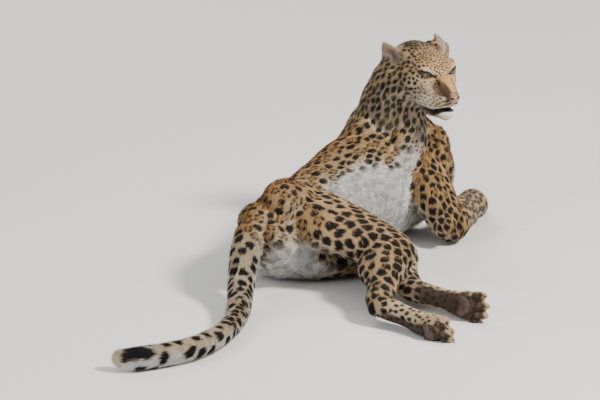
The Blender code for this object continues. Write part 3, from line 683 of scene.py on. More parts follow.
def tail_forms(sculpt, trunk):
    points = tail_path()
    halves = []
    for index in range(len(points)):
        share = index / (len(points) - 1)
        if share < 0.5:
            halves.append(blend(TAIL_ROOT_HALF, TAIL_MID_HALF, share * 2.0))
        else:
            halves.append(blend(TAIL_MID_HALF, TAIL_END_HALF, share * 2.0 - 1.0))
    halves[-1] = TAIL_END_HALF * 0.8
    points.insert(0, trunk.spot(0.10, 0.0, 5.0))
    sculpt.loft(tube_rings(points, [(4.6, 4.2)] + [(half, half) for half in halves], UP), 28)


# Coat of each region: hair length, height of the tips and width in mm, tufts per square cm, distance
# between spots and their radius in mm, share of rosettes, depth of the coat in mm, stretch of the spots
COAT = {
    "back": (13.5, 4.8, 1.6, 26.0, 22.0, 11.0, 0.85, 6.0, 1.2),
    "shoulder": (10.5, 4.2, 1.4, 30.0, 13.5, 7.8, 0.1, 6.0, 1.25),
    "haunch": (12.5, 4.6, 1.5, 26.0, 18.0, 8.8, 0.5, 6.0, 1.15),
    "neck": (10.5, 4.4, 1.3, 33.0, 12.5, 6.8, 0.0, 6.0, 1.35),
    "upper_arm": (9.5, 3.8, 1.3, 33.0, 13.0, 8.2, 0.0, 5.0, 1.2),
    "forearm": (8.0, 3.0, 1.1, 39.0, 12.5, 7.8, 0.0, 4.0, 1.2),
    "thigh": (10.5, 4.2, 1.4, 29.0, 20.5, 12.0, 0.0, 5.5, 1.1),
    "shank": (8.5, 3.2, 1.2, 36.0, 18.5, 11.0, 0.0, 4.5, 1.15),
    "foot": (6.5, 2.4, 1.0, 48.0, 10.5, 4.6, 0.0, 3.0, 1.2),
    "paw": (5.0, 1.9, 0.85, 60.0, 9.5, 2.8, 0.0, 2.5, 1.1),
    "tail": (15.0, 5.6, 1.5, 32.0, 18.5, 10.0, 0.0, 6.0, 1.1),
    "tail_end": (22.0, 7.0, 1.7, 30.0, 26.0, 11.0, 0.0, 6.5, 1.2),
    "head": (4.2, 1.7, 0.72, 92.0, 6.3, 2.7, 0.0, 2.6, 1.05),
    "ear": (4.6, 1.9, 0.75, 75.0, 8.0, 2.2, 0.0, 2.0, 1.0),
}
# What is different over the ribs, the forehead and the crown
RIBS = (("spacing", 14.5), ("spot", 7.6), ("rosette", 0.12), ("stretch", 1.45))
FOREHEAD = (("spacing", 4.9), ("spot", 2.35), ("hair", 3.2))
CROWN = (("spacing", 7.6), ("spot", 4.9))
FACE_HAIR = (("hair", 2.7),)
# Head coordinates of the point that the hair of the face runs away from
HAIR_SOURCE = (9.5, 0.0, -2.6)

# Lid opening in eye radii: half length, and height of the upper and lower lid
LID_LENGTH = 1.02
UPPER_LID = 0.30
LOWER_LID = 0.36

# Colours, linear
GOLD = (0.56, 0.31, 0.115)
TAN = (0.60, 0.41, 0.21)
CREAM = (0.74, 0.60, 0.42)
WHITE = (0.88, 0.86, 0.82)
BELLY_WHITE = (0.96, 0.955, 0.945)
OLIVE = (0.46, 0.37, 0.22)
BLACK = (0.012, 0.009, 0.008)
ROSETTE = (0.36, 0.17, 0.055)
BLOTCH = (0.17, 0.14, 0.115)
PLANTAR = (0.055, 0.032, 0.020)
MUZZLE_BROWN = (0.085, 0.045, 0.025)
LID_PINK = (0.66, 0.46, 0.36)
EAR_INSIDE = (0.52, 0.42, 0.36)
BELLY_PAINTED_SHADOW = (0.50, 0.51, 0.53)
ARC_BROWN = (0.045, 0.028, 0.02)
ROW_BLACK = (0.03, 0.02, 0.015)
EAR_BLACK = (0.03, 0.025, 0.022)
EAR_HOLLOW_PAINTED_SHADE = (0.085, 0.055, 0.040)
IRIS_INNER = (0.17, 0.17, 0.075)
IRIS_OUTER = (0.085, 0.105, 0.062)
NOSE_PINK = (0.50, 0.25, 0.165)
NOSE_EDGE = (0.07, 0.038, 0.030)
NOSE_TOP = (0.13, 0.065, 0.05)
NOSTRIL_PAINTED_SHADE = (0.006, 0.004, 0.004)
EYE_DARK = (0.02, 0.015, 0.01)
EYE_WHITE = (0.10, 0.07, 0.05)
PUPIL = (0.003, 0.003, 0.003)

# Turn in degrees of the white belly up the right flank, and the stretch of the trunk where it is
BELLY_TURN = 34.0
BELLY_FROM = (0.22, 0.34)
BELLY_TO = (0.66, 0.80)

# Depth of the coat round the eyes: none up to the first distance, all from the second, in metres
EYE_THIN = (0.017, 0.030)
# Depth of the coat on the muzzle, in mm
MUZZLE_DEPTH = 1.0
# Least height of the skin under the coat that rests on the floor
SKIN_CLEAR = 4.0 * MM
# The skin's triangles are densest round this place of the head, up to these distances in metres
FINE_CENTRE = (-2.0, 0.0, -2.0)
FINE_REACH = (0.10, 0.14)
FINE_LEVELS = 20
# Way towards the feet that show their soles, how far out they lie in metres, and their tilt
NEAR_WAY = (-0.67, -0.74)
NEAR_FROM = (0.03, 0.08)
SOLE_TILT = (0.65, 0.42)


class Bones:
    """Line segments along the body, each with its coat region, lie of the hair and back direction."""

    def __init__(self, trunk, head, paws):
        self.rows = []
        self.add_trunk(trunk)
        neck = [head.at(-8.0, 0.0, -2.5)] + [point(place) for place, _ in reversed(NECK_STATIONS)]
        neck_back = (head.vector(-1.0, 0.0, 0.5).normalized() + Vector((-0.3, 0.5, 0.6))).normalized()
        self.add(neck, *[(0.075, "neck", neck_back)] * 4)
        for side, hind_paw in zip(SIDES, paws[::2]):
            outer = Vector((0.0, 0.0, side))
            self.add(hind_joints(trunk, side), (0.062, "thigh", outer), (0.036, "shank", outer),
                     (0.024, "foot", hind_paw.dorsal))
            outer = (trunk.frame(0.85)[1] * side).normalized()
            self.add(fore_joints(side), (0.052, "upper_arm", outer),
                     (0.036, "forearm", (outer + UP).normalized()), (0.030, "paw", UP))
        for paw in paws:
            self.add((paw.root, paw.at(6.0, 0.0, 0.0)), (0.026, "paw", paw.dorsal))
        self.add(tail_path(), *[(0.024, "tail", UP)] * 5 + [(0.024, "tail_end", UP)] * 3)
        self.add((head.at(-9.0, 0.0, -1.0), head.at(-2.0, 0.0, -1.5)), (0.062, "head", head.up))
        self.add((head.at(-2.0, 0.0, -2.5), head.at(5.5, 0.0, -4.0)), (0.040, "head", head.up))
        for side in SIDES:
            base, upward, facing = head.ear(side)
            self.add((base + upward * 0.012, base + upward * 0.045), (0.022, "ear", -facing))
        start, end, radius, self.region, back = zip(*self.rows)
        self.start, self.end, self.radius, self.back = map(np.array, (start, end, radius, back))
        self.values = np.array([COAT[name] for name in self.region])

    def add(self, joints, *bones):
        """Bones from joint to joint, each with its radius, region and back direction."""
        for start, end, (radius, region, back) in zip(joints, joints[1:], bones):
            self.rows.append((tuple(start), tuple(end), radius, region, tuple(back)))

    def add_trunk(self, trunk):
        """Bones of the trunk, where the belly's white is turned up the right flank."""
        shares = [1.0, 0.9, 0.8, 0.7, 0.6, 0.5, 0.4, 0.3, 0.2, 0.1, 0.0]
        bones = []
        for before, after in zip(shares, shares[1:]):
            middle = 0.5 * (before + after)
            region = "shoulder" if middle > 0.76 else ("back" if middle > 0.24 else "haunch")
            wide, deep = [table(TRUNK_STATIONS, middle, column) for column in (1, 2)]
            _, side, back = trunk.frame(middle)
            share = clamp((middle - BELLY_FROM[0]) / (BELLY_FROM[1] - BELLY_FROM[0]))
            share *= clamp((BELLY_TO[1] - middle) / (BELLY_TO[1] - BELLY_TO[0]))
            turn = math.radians(BELLY_TURN) * share
            bones.append((0.5 * (wide + deep) * CM, region, back * math.cos(turn) - side * math.sin(turn)))
        self.add([trunk.centre(share) for share in shares], *bones)

    def weights(self, places):
        """Share of each bone at each place."""
        result = np.empty((len(places), len(self.rows)))
        for index in range(len(self.rows)):
            line = self.end[index] - self.start[index]
            along = np.clip((places - self.start[index]) @ line / (line @ line), 0.0, 1.0)
            nearest = self.start[index] + along[:, None] * line
            distance = np.linalg.norm(places - nearest, axis=1) / self.radius[index]
            result[:, index] = np.maximum(distance, 0.05) ** -7.0
        return result / result.sum(axis=1, keepdims=True)


class Field:
    """Coat values, lie of the hair and back direction at an array of places on the skin."""

    def __init__(self, bones, head, places, normals):
        self.places = places
        self.normals = normals
        weights = bones.weights(places)
        (self.hair, self.rise, self.width, self.density, self.spacing, self.spot, self.rosette,
         self.depth, self.stretch) = (weights @ bones.values).T
        self.region = {}
        for index, name in enumerate(bones.region):
            self.region[name] = self.region.get(name, 0.0) + weights[:, index]
        self.head = head.local(places)
        self.above = dots(normals, unit(weights @ bones.back))
        self.change(self.region["back"] * step(places[:, 1], 0.14, 0.26), RIBS)
        on_head = self.region["head"]
        self.on_head = clamp(on_head * 1.6)
        x, y, z = self.head.T
        front = on_head * step(z, -0.4, 0.9) * step(-np.abs(y), -3.6, -2.6) * step(x, -7.6, -6.0)
        self.change(front, FOREHEAD)
        self.change(on_head * step(-x, 5.0, 7.2) * step(z, -0.4, 1.2), CROWN)
        self.change(on_head * step(x, -3.0, -1.0), FACE_HAIR)
        face = unit(unit(self.head - np.array(HAIR_SOURCE)) @ head.axes)
        lie = unit(weights @ unit(bones.end - bones.start)) * (1.0 - on_head)[:, None]
        lie = lie + face * on_head[:, None]
        self.lie = unit(lie - normals * dots(lie, normals)[:, None])

    def change(self, part, values):
        """Draws coat values towards others over a part of the skin."""
        for name, value in values:
            setattr(self, name, blend(getattr(self, name), value, part))


def skin_body(trunk, head, paws):
    """The whole animal in one closed fine mesh, still at the outline of the coat."""
    sculpt = Sculpt()
    head_forms(sculpt, head, SKULL)
    ear_forms(sculpt, head)
    eye_forms(sculpt, head)
    trunk_forms(sculpt, trunk)
    neck_forms(sculpt)
    for side in SIDES:
        hind_forms(sculpt, trunk, side)
        fore_forms(sculpt, side)
    for paw in paws:
        paw.forms(sculpt)
    tail_forms(sculpt, trunk)
    return sculpt.finish("skin", *SKIN_GRID)


def eye_opening(head, side, places):
    """Value under 1 inside the almond opening between the lids, and the offset from the eye's centre."""
    centre, outward, lateral, upward = [np.array(item) for item in head.eye(side)]
    offset = places - centre
    a, b, c = [offset @ axis / EYE_SIZE for axis in (outward, lateral, upward)]
    tall = np.where(c > 0.0, UPPER_LID, LOWER_LID)
    value = np.abs(c) / tall + (np.abs(b) / LID_LENGTH) ** 2.2
    return np.where((a > 0.0) & (np.linalg.norm(offset, axis=1) < EYE_SIZE * 1.7), value, 9.0), offset


def mouth_line(x):
    """Height of the middle of the mouth along the muzzle, in head coordinates."""
    return -7.05 + 0.95 * step(x, 2.8, 5.6)


def mouth_half(x):
    """Half height of the open mouth along the muzzle, in head coordinates."""
    return 0.13 + 0.20 * step(x, 1.6, 5.0)


def sculpt_face(head, places, normals):
    """Folds, mouth line, nostril wings and lids, pressed into the head of the skin."""
    x, y, z = head.local(places).T
    near = (x > -12.0) & (x < 9.0) & (np.abs(y) < 9.0) & (np.abs(z) < 9.0)
    groove = np.exp(-((z - mouth_line(x)) / mouth_half(x)) ** 4.0) * step(x, -0.4, 1.0) * (z < -4.6)
    behind_nose = step(x, 4.6, 5.2) * step(-np.abs(y), -1.25, -0.95) * span(z, -4.7, -4.2, -2.6, -2.2)
    philtrum = hump((y, 0.0, 0.16)) * span(z, -6.3, -5.6, -4.9, -4.2) * step(x, 4.2, 5.2)
    push = groove * blend(0.55, 1.6, step(x, 1.0, 4.2)) + behind_nose * 0.55 + philtrum * 0.22
    for side in SIDES:
        push = push + hump((x, 1.1, 1.5), (y, side * 3.3, 1.3), (z, -1.9, 0.7)) * 0.28
        push = push + hump((x, 1.4, 1.0), (y, side * 1.9, 0.7), (z, -0.6, 1.0)) * 0.35
    places = places - normals * (np.where(near, push, 0.0) * HEAD_UNIT)[:, None]
    for side in SIDES:
        value, offset = eye_opening(head, side, places)
        reach = np.linalg.norm(offset, axis=1)
        lid = blend(np.minimum(reach, EYE_SIZE * 1.07), reach, step(value, 1.1, 3.2))
        reach = np.where(value < 1.0, EYE_SIZE * 0.80, np.where(value < 8.0, lid, reach))
        places = np.array(head.eye(side)[0]) + unit(offset) * reach[:, None]
    return places


def thin_out(skin, places, head):
    """Triangles of the skin brought to their number, finest round the face."""
    group = skin.vertex_groups.new(name="thin")
    distance = np.linalg.norm(places - np.array(head.at(*FINE_CENTRE)), axis=1)
    share = np.round(step(distance, *FINE_REACH) * (FINE_LEVELS - 1.0) + 1.0).astype(int)
    for level in range(1, FINE_LEVELS + 1):
        chosen = np.nonzero(share == level)[0]
        if len(chosen):
            group.add(chosen.tolist(), level / FINE_LEVELS, "REPLACE")
    skin.modifiers.new("triangles", "TRIANGULATE")
    evaluated(skin)
    thin = skin.modifiers.new("thin", "DECIMATE")
    thin.ratio = min(1.0, SKIN_TRIANGLES / len(skin.data.polygons))
    thin.vertex_group = "thin"
    evaluated(skin)
    skin.vertex_groups.clear()


def build_skin(trunk, head, paws, bones):
    """One skin for all the flesh, inside the solids by the depth of the coat."""
    skin = skin_body(trunk, head, paws)
    mesh = skin.data
    places, normals = coordinates(mesh), normals_of(mesh)
    field = Field(bones, head, places, normals)
    depth = blend(field.depth, MUZZLE_DEPTH, field.region["head"] * step(field.head[:, 0], -1.0, 2.0))
    for side in SIDES:
        depth = depth * step(np.linalg.norm(places - np.array(head.eye(side)[0]), axis=1), *EYE_THIN)
    places = places - normals * (depth * MM)[:, None]
    set_coordinates(mesh, places)
    places = sculpt_face(head, places, normals_of(mesh))
    places[:, 2] = np.maximum(places[:, 2], SKIN_CLEAR)
    set_coordinates(mesh, places)
    thin_out(skin, places, head)
    skin.data.shade_smooth()
    return skin


# Least soft edge of a spot and least half width of the net between spots, in metres
LEAST_EDGE = 0.0004
LEAST_NET = 0.0002


class Spots:
    """Seeds of the spots over the skin, spaced by the coat values, each with its own shape."""

    def __init__(self, field, chooser):
        places = field.places
        order = chooser.permutation(len(places))
        still_open = np.ones(len(places), bool)
        chosen = []
        for index in order:
            if not still_open[index]:
                continue
            chosen.append(index)
            reach = field.spacing[index] * MM
            inside = (places > places[index] - reach) & (places < places[index] + reach)
            near = np.nonzero(np.all(inside, axis=1))[0]
            apart = np.linalg.norm(places[near] - places[index], axis=1)
            facing = field.normals[near] @ field.normals[index] > -0.3
            still_open[near[(apart < reach) & facing]] = False
        chosen = np.array(chosen)
        count = len(chosen)
        self.place = places[chosen]
        self.normal = field.normals[chosen]
        turn = chooser.uniform(-0.4, 0.4, count)
        lie = field.lie[chosen]
        self.along = turned_by(lie, np.cross(self.normal, lie), turn)
        self.across = np.cross(self.normal, self.along)
        self.radius = field.spot[chosen] * MM * chooser.uniform(0.82, 1.16, count)
        self.stretch = field.stretch[chosen] * chooser.uniform(0.88, 1.12, count)
        self.rosette = chooser.uniform(0.0, 1.0, count) < field.rosette[chosen]
        self.phase = chooser.uniform(0.0, 2.0 * math.pi, (count, 4))
        self.gaps = chooser.randint(3, 6, count)
        self.tree = kdtree.KDTree(count)
        for number, place in enumerate(self.place):
            self.tree.insert(place, number)
        self.tree.balance()

    def cover(self, places, normals, nearest=4):
        """Black (0 to 1) and rosette inside (0 to 1) at each place."""
        index = np.empty((len(places), nearest), int)
        find = self.tree.find_n
        for number, place in enumerate(places):
            index[number] = [item[1] for item in find(place, nearest)]
        offset = places[:, None, :] - self.place[index]
        u = np.einsum("nkj,nkj->nk", offset, self.along[index]) / self.stretch[index]
        v = np.einsum("nkj,nkj->nk", offset, self.across[index]) * self.stretch[index] ** 0.5
        reach, angle = np.hypot(u, v), np.arctan2(v, u)
        phase = self.phase[index]
        size = self.radius[index]
        radius = size * (1.0 + 0.10 * np.sin(2.0 * angle + phase[..., 0])
                         + 0.09 * np.sin(3.0 * angle + phase[..., 1])
                         + 0.06 * np.sin(5.0 * angle + phase[..., 2]))
        edge = np.maximum(0.10 * size, LEAST_EDGE)
        facing = np.einsum("nj,nkj->nk", normals, self.normal[index]) > 0.0
        share = np.where(facing, reach / size, 9.0)
        order = np.sort(share, axis=1)
        rival = np.where(share <= order[:, :1], order[:, 1:2], order[:, :1])
        apart = 0.5 * (rival - share) * size
        net = clamp((apart - 0.085 * size - LEAST_NET) / (0.05 * size + LEAST_NET))
        rosette = self.rosette[index]
        fill = clamp((radius * np.where(rosette, 1.18, 1.0) - reach) / edge) * facing * net
        ring = clamp((reach - radius * 0.50) / edge)
        gate = clamp((np.sin(self.gaps[index] * angle + phase[..., 3]) + 0.72) * 3.5)
        black = np.where(rosette, fill * ring * gate, fill)
        return black.max(axis=1), np.where(rosette, fill, 0.0).max(axis=1)


def waves(places, size, phase=0.0):
    """Slow random-looking variation from -1 to 1 with features of about the size."""
    k = 2.0 * math.pi / size
    x, y, z = places.T
    slow = np.sin(k * (x + 0.6 * y) + phase) * np.sin(k * (y * 1.1 - 0.5 * z) + 1.7 + phase)
    quick = np.sin(k * 1.9 * (z + 0.3 * x) + 0.9 + phase) * np.sin(k * 1.7 * (x - 0.4 * y) + phase)
    return (slow + 0.6 * quick) / 1.6


def paint(colour, *layers):
    """Colours with layers over them, each a tone and its share at each place."""
    for tone, share in layers:
        colour = mix(colour, tone, share)
    return colour


def coat_colour(field, spots):
    """Colour of the coat at each place of a field, with the spots and the marks of the face."""
    places, region = field.places, field.region
    above = field.above + 0.10 * waves(places, 0.045)
    low_haunch = region["haunch"] * step(-places[:, 2], -0.115, -0.07)
    trunk_share = clamp(region["back"] + low_haunch + region["shoulder"] * 0.8)
    far_shoulder = np.linalg.norm(places - np.array(LEFT_SHOULDER) * CM, axis=1)
    white = step(-above, 0.02, 0.30) * trunk_share * step(far_shoulder, 0.075, 0.100)
    limb = (region["forearm"] + region["shank"] + region["foot"] + region["paw"]
            + region["thigh"] * 0.85 + region["upper_arm"] * 0.6)
    limb_tone = mix(CREAM, TAN, 0.20 + 0.55 * step(above, 0.0, 0.8))
    neck_tone = mix(mix(OLIVE, CREAM, 0.35), TAN, step(above, -0.2, 0.7))
    tail = clamp(region["tail"] + region["tail_end"]) * (1.0 - 0.6 * region["haunch"])
    tail_tone = mix(WHITE, mix(CREAM, TAN, 0.20), step(above, -0.35, 0.55) * 0.9)
    soft = white * step(-above, 0.05, 0.4)
    # grey waves over the soft white belly, drawn in below, are painted shadow
    shade = step(waves(places, 0.055, 1.3), 0.0, 0.9) * soft
    # the paws' darker brown below is partly their own tone and partly painted shade
    base = paint(mix(CREAM, mix(TAN, GOLD, step(above, 0.2, 0.9)), step(above, -0.40, 0.25)),
                 (BELLY_WHITE, white), (limb_tone, clamp(limb) * 0.85),
                 (mix(TAN, ROSETTE, 0.35), region["paw"] * 0.45),
                 (neck_tone, clamp(region["neck"]) * 0.85), (tail_tone, tail), (BELLY_PAINTED_SHADOW, shade * 0.35))

    black, inside = spots.cover(places, field.normals)
    x, y, z = field.head.T
    black = black * (1.0 - 0.68 * soft) * (1.0 - field.on_head * unspotted(x, np.abs(y), z))
    near_foot = step(places[:, :2] @ np.array(NEAR_WAY), *NEAR_FROM) * (1.0 - 0.75 * region["paw"])
    under = -field.above - near_foot * (SOLE_TILT[0] * field.normals[:, 2] + SOLE_TILT[1])
    sole = clamp(region["foot"] + region["paw"]) * step(under, 0.30, 0.62)
    colour = paint(base, (mix(ROSETTE, base, 0.45), inside * (1.0 - soft)),
                   (mix(BLACK, BLOTCH, soft), black), (PLANTAR, sole * 0.92), *tail_marks(field))
    colour = ear_colour(field, face_colour(field, colour))
    return clamp(colour * (1.0 + 0.07 * waves(places, 0.016, 2.0))[:, None])


def tail_marks(field):
    """Black blotch over the end of the tail and its cream tip."""
    along = beyond_tail(field.places)
    on = clamp(field.region["tail_end"] * 1.4)
    blotch = span(along, -4.6, -4.0, -0.8, -0.2) * step(field.above, -0.1, 0.25)
    return (BLACK, blotch * on), (CREAM, step(along, -0.4, 0.4) * on)


def unspotted(x, side, z):
    """Where the face has its own marks and no spots: muzzle, nose bridge and under the eye."""
    bridge = step(x, 1.5, 2.5) * step(-side, -2.2, -1.6) * step(z, -3.8, -3.2)
    muzzle = step(x, 0.6, 1.8) * step(-z, 2.4, 3.2)
    lids = hump((x, 0.3, 1.5), (side, 3.0, 1.4), (z, -0.9, 1.6))
    chin = step(x, -0.6, 0.6) * step(-z, 6.0, 6.8)
    return clamp(bridge + muzzle + chin + step(lids, 0.35, 0.6))


def eye_coordinates(x, side, z):
    """Outward, towards the outer corner and up from an eye's centre, in eye radii."""
    turn, slant = math.radians(EYE_OUTWARD), math.radians(EYE_SLANT)
    ahead, beside = x - EYE_DEPTH, side - EYE_SPREAD
    out = (ahead * math.cos(turn) + beside * math.sin(turn)) / EYE_RADIUS
    along = (-ahead * math.sin(turn) + beside * math.cos(turn)) / EYE_RADIUS
    lift = z / EYE_RADIUS
    return (out, along * math.cos(slant) + lift * math.sin(slant),
            lift * math.cos(slant) - along * math.sin(slant))


def face_colour(field, colour):
    """Head marks: crown, lids, swirls, bridge, whisker rows, lips, chin, tear lines, and painted shade."""
    x, y, z = field.head.T
    side = np.abs(y)
    on = field.on_head
    lit = clamp(colour.sum(axis=1) * 1.6)
    # olive drawn over the cheeks below is painted shade
    cheek = np.sqrt(((x + 2.5) / 4.6) ** 2 + ((side - 4.0) / 3.4) ** 2 + ((z + 3.6) / 3.4) ** 2)
    cheek = step(-cheek, -1.4, -0.6) * on
    crown = step(z, -0.6, 0.8) * on
    brow_gold = mix(GOLD, CREAM, 0.05 + 0.55 * (0.5 + 0.5 * waves(field.places, 0.0065, 0.7)))
    # black over the back of the crown below is painted shade; the crown's gold is its own tone
    colour = paint(colour, (mix(OLIVE, CREAM, 0.30), cheek * lit * 0.55), (brow_gold, crown * lit * 0.85),
                   ((0.0, 0.0, 0.0), 0.48 * step(-x, 5.2, 7.8) * crown))

    # pale line over the eye, pale round below it with its dark arcs
    out, b, c = eye_coordinates(x, side, z)
    near_eye = (out > 0.1).astype(float) * on
    pale = mix(LID_PINK, CREAM, 0.6)
    over = band(c - 0.80 + 0.26 * b * b, 0.0, 0.11, 0.12) * step(-np.abs(b + 0.1), -1.25, -0.9)
    swirl = np.hypot((b + 0.80) * 0.95, c + 1.62) + 0.05 * np.sin(5.0 * b + 3.0 * c) + 0.03 * np.sin(9.0 * c)
    round_eye = step(-swirl, -1.16, -0.92) * step(-c, 0.50, 0.7) * near_eye
    around = np.arctan2(c + 1.62, b + 0.80)
    arcs = clamp((np.sin(swirl * 16.5 + 0.9 * np.sin(b * 4.0)) - 0.05) * 2.6)
    arcs = arcs * clamp(0.45 + 1.9 * np.sin(around * 7.0 + swirl * 9.0))
    colour = paint(colour, (pale, over * near_eye * 0.75), (pale, round_eye * 0.50),
                   (ARC_BROWN, arcs * round_eye * step(swirl, 0.22, 0.34) * 0.92))

    # golden bridge of the nose between dark sides
    taper = 0.16 * np.clip(x - 1.0, 0.0, 4.6)
    bridge = step(x, 1.3, 2.5) * step(-side - taper * 0.7, -1.75, -1.25) * step(z, -3.6, -2.9) * on
    flank = band(side + taper, 2.15, 0.62, 0.40) * span(x, 0.8, 1.8, 5.6, 6.4)
    flank = flank * span(z, -4.1, -3.5, -1.1, -0.4) * on
    colour = paint(colour, (mix(GOLD, CREAM, 0.18), bridge * 0.9),
                   (MUZZLE_BROWN, flank * (0.82 + 0.14 * step(x, 2.5, 4.5))))

    # whisker rows on the pad
    line, half = mouth_line(x), mouth_half(x)
    under_nose = step(x, 4.2, 4.8) * step(-z, 3.6, 4.2)
    pad = step(x, -0.8, 0.6) * np.maximum(step(side, 0.7, 1.2), under_nose) * step(-z, 3.3, 3.8)
    pad = pad * step(z - line - half, 0.0, 0.3) * on
    rows = np.zeros(len(x))
    for number in range(5):
        height = -3.60 - 0.55 * number + 0.085 * (x - 3.0) * (number - 2.2)
        dash = 0.75 + 0.5 * np.sin((x + 0.4 * number) * 6.2)
        rows = np.maximum(rows, clamp((0.185 * dash - np.abs(z - height)) / 0.06))
    colour = paint(colour, (mix(OLIVE, CREAM, 0.50), pad * 0.95),
                   (ROW_BLACK, rows * pad * step(-x, -5.9, -5.4) * 0.95))

    # upper lip, chin, lower lip, mouth corner, mouth with its painted shadow, and the skin under the nose
    # leather
    below = line - half - z
    upper_lip = band(z - line - half, 0.24, 0.12, 0.16) * step(x, 1.6, 2.8) * on
    chin = step(x, 0.4, 2.6) * step(below, 0.0, 0.25) * on
    lower_lip = step(below, -0.10, 0.05) * step(0.85 - 0.52 * step(x, 2.8, 5.4) - below, -0.10, 0.10)
    corner = step(-np.hypot((x - 1.2) / 2.3, (z + 7.70) / 1.10), -1.15, -0.80) * step(side, 0.9, 1.6)
    # the mouth is black: black lips at its edges and painted shadow in the open gap
    mouth = band(z - line, -0.08, half + 0.06, 0.10)
    leather = step(x, 5.0, 5.3) * step(-side, -1.1, -0.9) * span(z, -4.6, -4.3, -2.6, -2.4)
    back_end = step(x, -0.6, 0.4) * on
    colour = paint(colour, (mix(WHITE, OLIVE, 0.45), upper_lip * 0.60), (mix(TAN, CREAM, 0.30), chin),
                   (WHITE, chin * step(x, 3.8, 5.0) * step(z, -9.0, -8.1)),
                   (BLACK, lower_lip * back_end * 0.95), (BLACK, corner * on * 0.95),
                   (BLACK, mouth * back_end), (BLACK, leather * on))

    # dark rims of the eye, its outer point and the tear line
    reach = clamp(1.0 - (np.abs(b + 0.02) / 1.26) ** 2.2)
    tall = np.where(c > 0.0, 0.62, 0.52) * reach + 0.02
    rim = clamp((tall - np.abs(c)) / 0.10) * (reach > 0.0)
    outer = band(c, 0.10 - 0.10 * (b - 1.0), 0.10, 0.10) * span(b, 0.8, 1.0, 1.45, 1.75)
    fall = -0.25 - 0.62 * (x - 0.6)
    tear = clamp((0.42 - np.abs(z - fall)) / 0.18) * span(x, 0.2, 0.6, 2.5, 3.3)
    tear = tear * span(side, 1.25, 1.6, 2.5, 3.0) * on
    return paint(colour, (BLACK, rim * near_eye), (BLACK, outer * near_eye * 0.9), (BLACK, tear * 0.95))


def ear_colour(field, colour):
    """Marks of the ears: black backs with pale tips, painted shade in the hollow, white hairs inside."""
    x, y, z = field.head.T
    ear = clamp(field.region["ear"] * 1.5)
    outside = step(field.above, -0.05, 0.35)
    high = step(x * -0.70 + np.abs(y) * 0.42 + z * 0.56, 8.0, 8.6)
    outer = mix(mix(BLACK, EAR_BLACK, 0.5), mix(GOLD, WHITE, 0.4), high)
    inner = mix(mix(EAR_INSIDE, LID_PINK, 0.35), TAN, 0.35) * np.ones((len(x), 1))
    for sign, (root, reach, opening) in zip(SIDES, (LEFT_EAR, RIGHT_EAR)):
        upward = unit(np.array(reach))
        offset = field.head - np.array(root)
        u, v = offset @ upward, offset @ unit(np.cross(upward, np.array(opening)))
        here = (y * sign > 0.0).astype(float)
        streaks = clamp(np.sin(v * 8.0 + 1.4 * np.sin(u * 1.7)) * 1.6) * here
        # the dark brown in the ear's hollow is painted shade
        inner = paint(inner, (EAR_HOLLOW_PAINTED_SHADE, hump((u, 1.6, 2.1), (v, 0.0, 1.45)) * here * 0.90),
                      (WHITE, streaks * 0.60 * step(np.abs(v), 0.6, 1.8)))
    # the gold-cream round the ears' edges is partly pale edge hair and partly a painted sunlit rim
    rim = 1.0 - clamp(np.abs(field.above) / 0.35)
    return paint(colour, (outer, ear * outside * 0.92), (inner, ear * (1.0 - outside) * 0.9),
                 (mix(GOLD, CREAM, 0.35), ear * rim * 0.8))


def unwrap(thing):
    """Unwrap of the skin's own shape, from its surface directions."""
    bpy.context.view_layer.objects.active = thing
    thing.select_set(True)
    thing.data.uv_layers.new(name="OFBake")
    bpy.ops.object.mode_set(mode="EDIT")
    bpy.ops.mesh.select_all(action="SELECT")
    bpy.ops.uv.smart_project(angle_limit=math.radians(66.0), island_margin=0.004)
    bpy.ops.object.mode_set(mode="OBJECT")
    thing.select_set(False)
    return read(thing.data.uv_layers["OFBake"].data, "uv", 2).reshape(-1, 3, 2)


# Tufts: depth of the root in the skin in metres, share of the hair where its colour is taken, and the
# painted shade of the two feet, the ridge and the tip, darkest at the root and a little lighter at the tip
ROOT_DEPTH = 0.0006
SEEN_SHARE = 0.70
TUFT_PAINTED_SHADE = (0.62, 0.62, 0.80, 1.06)
TUFT_FACES = ((0, 1, 3), (1, 2, 3), (2, 0, 3), (0, 2, 1))
PATCH_CORNERS = ((-0.0013, -0.0013), (0.0013, -0.0013), (0.0, 0.0), (0.0, 0.0016))
# Skin without tufts: lower than this in metres and facing down
HIDDEN_HEIGHT = 5.5 * MM
HIDDEN_FACING = -0.7
# Piece of the coat that each region goes to, and where the face and the flank begin
PIECES = {"back": "coat_trunk", "haunch": "coat_rump", "shoulder": "coat_chest", "neck": "coat_neck",
          "upper_arm": "coat_forelegs", "forearm": "coat_forelegs", "thigh": "coat_thighs",
          "shank": "coat_shanks", "foot": "coat_feet", "paw": "coat_feet", "tail": "coat_tail",
          "tail_end": "coat_tail", "head": "coat_head", "ear": "coat_head"}
FACE_FROM = -3.2
FLANK_FROM = 0.22


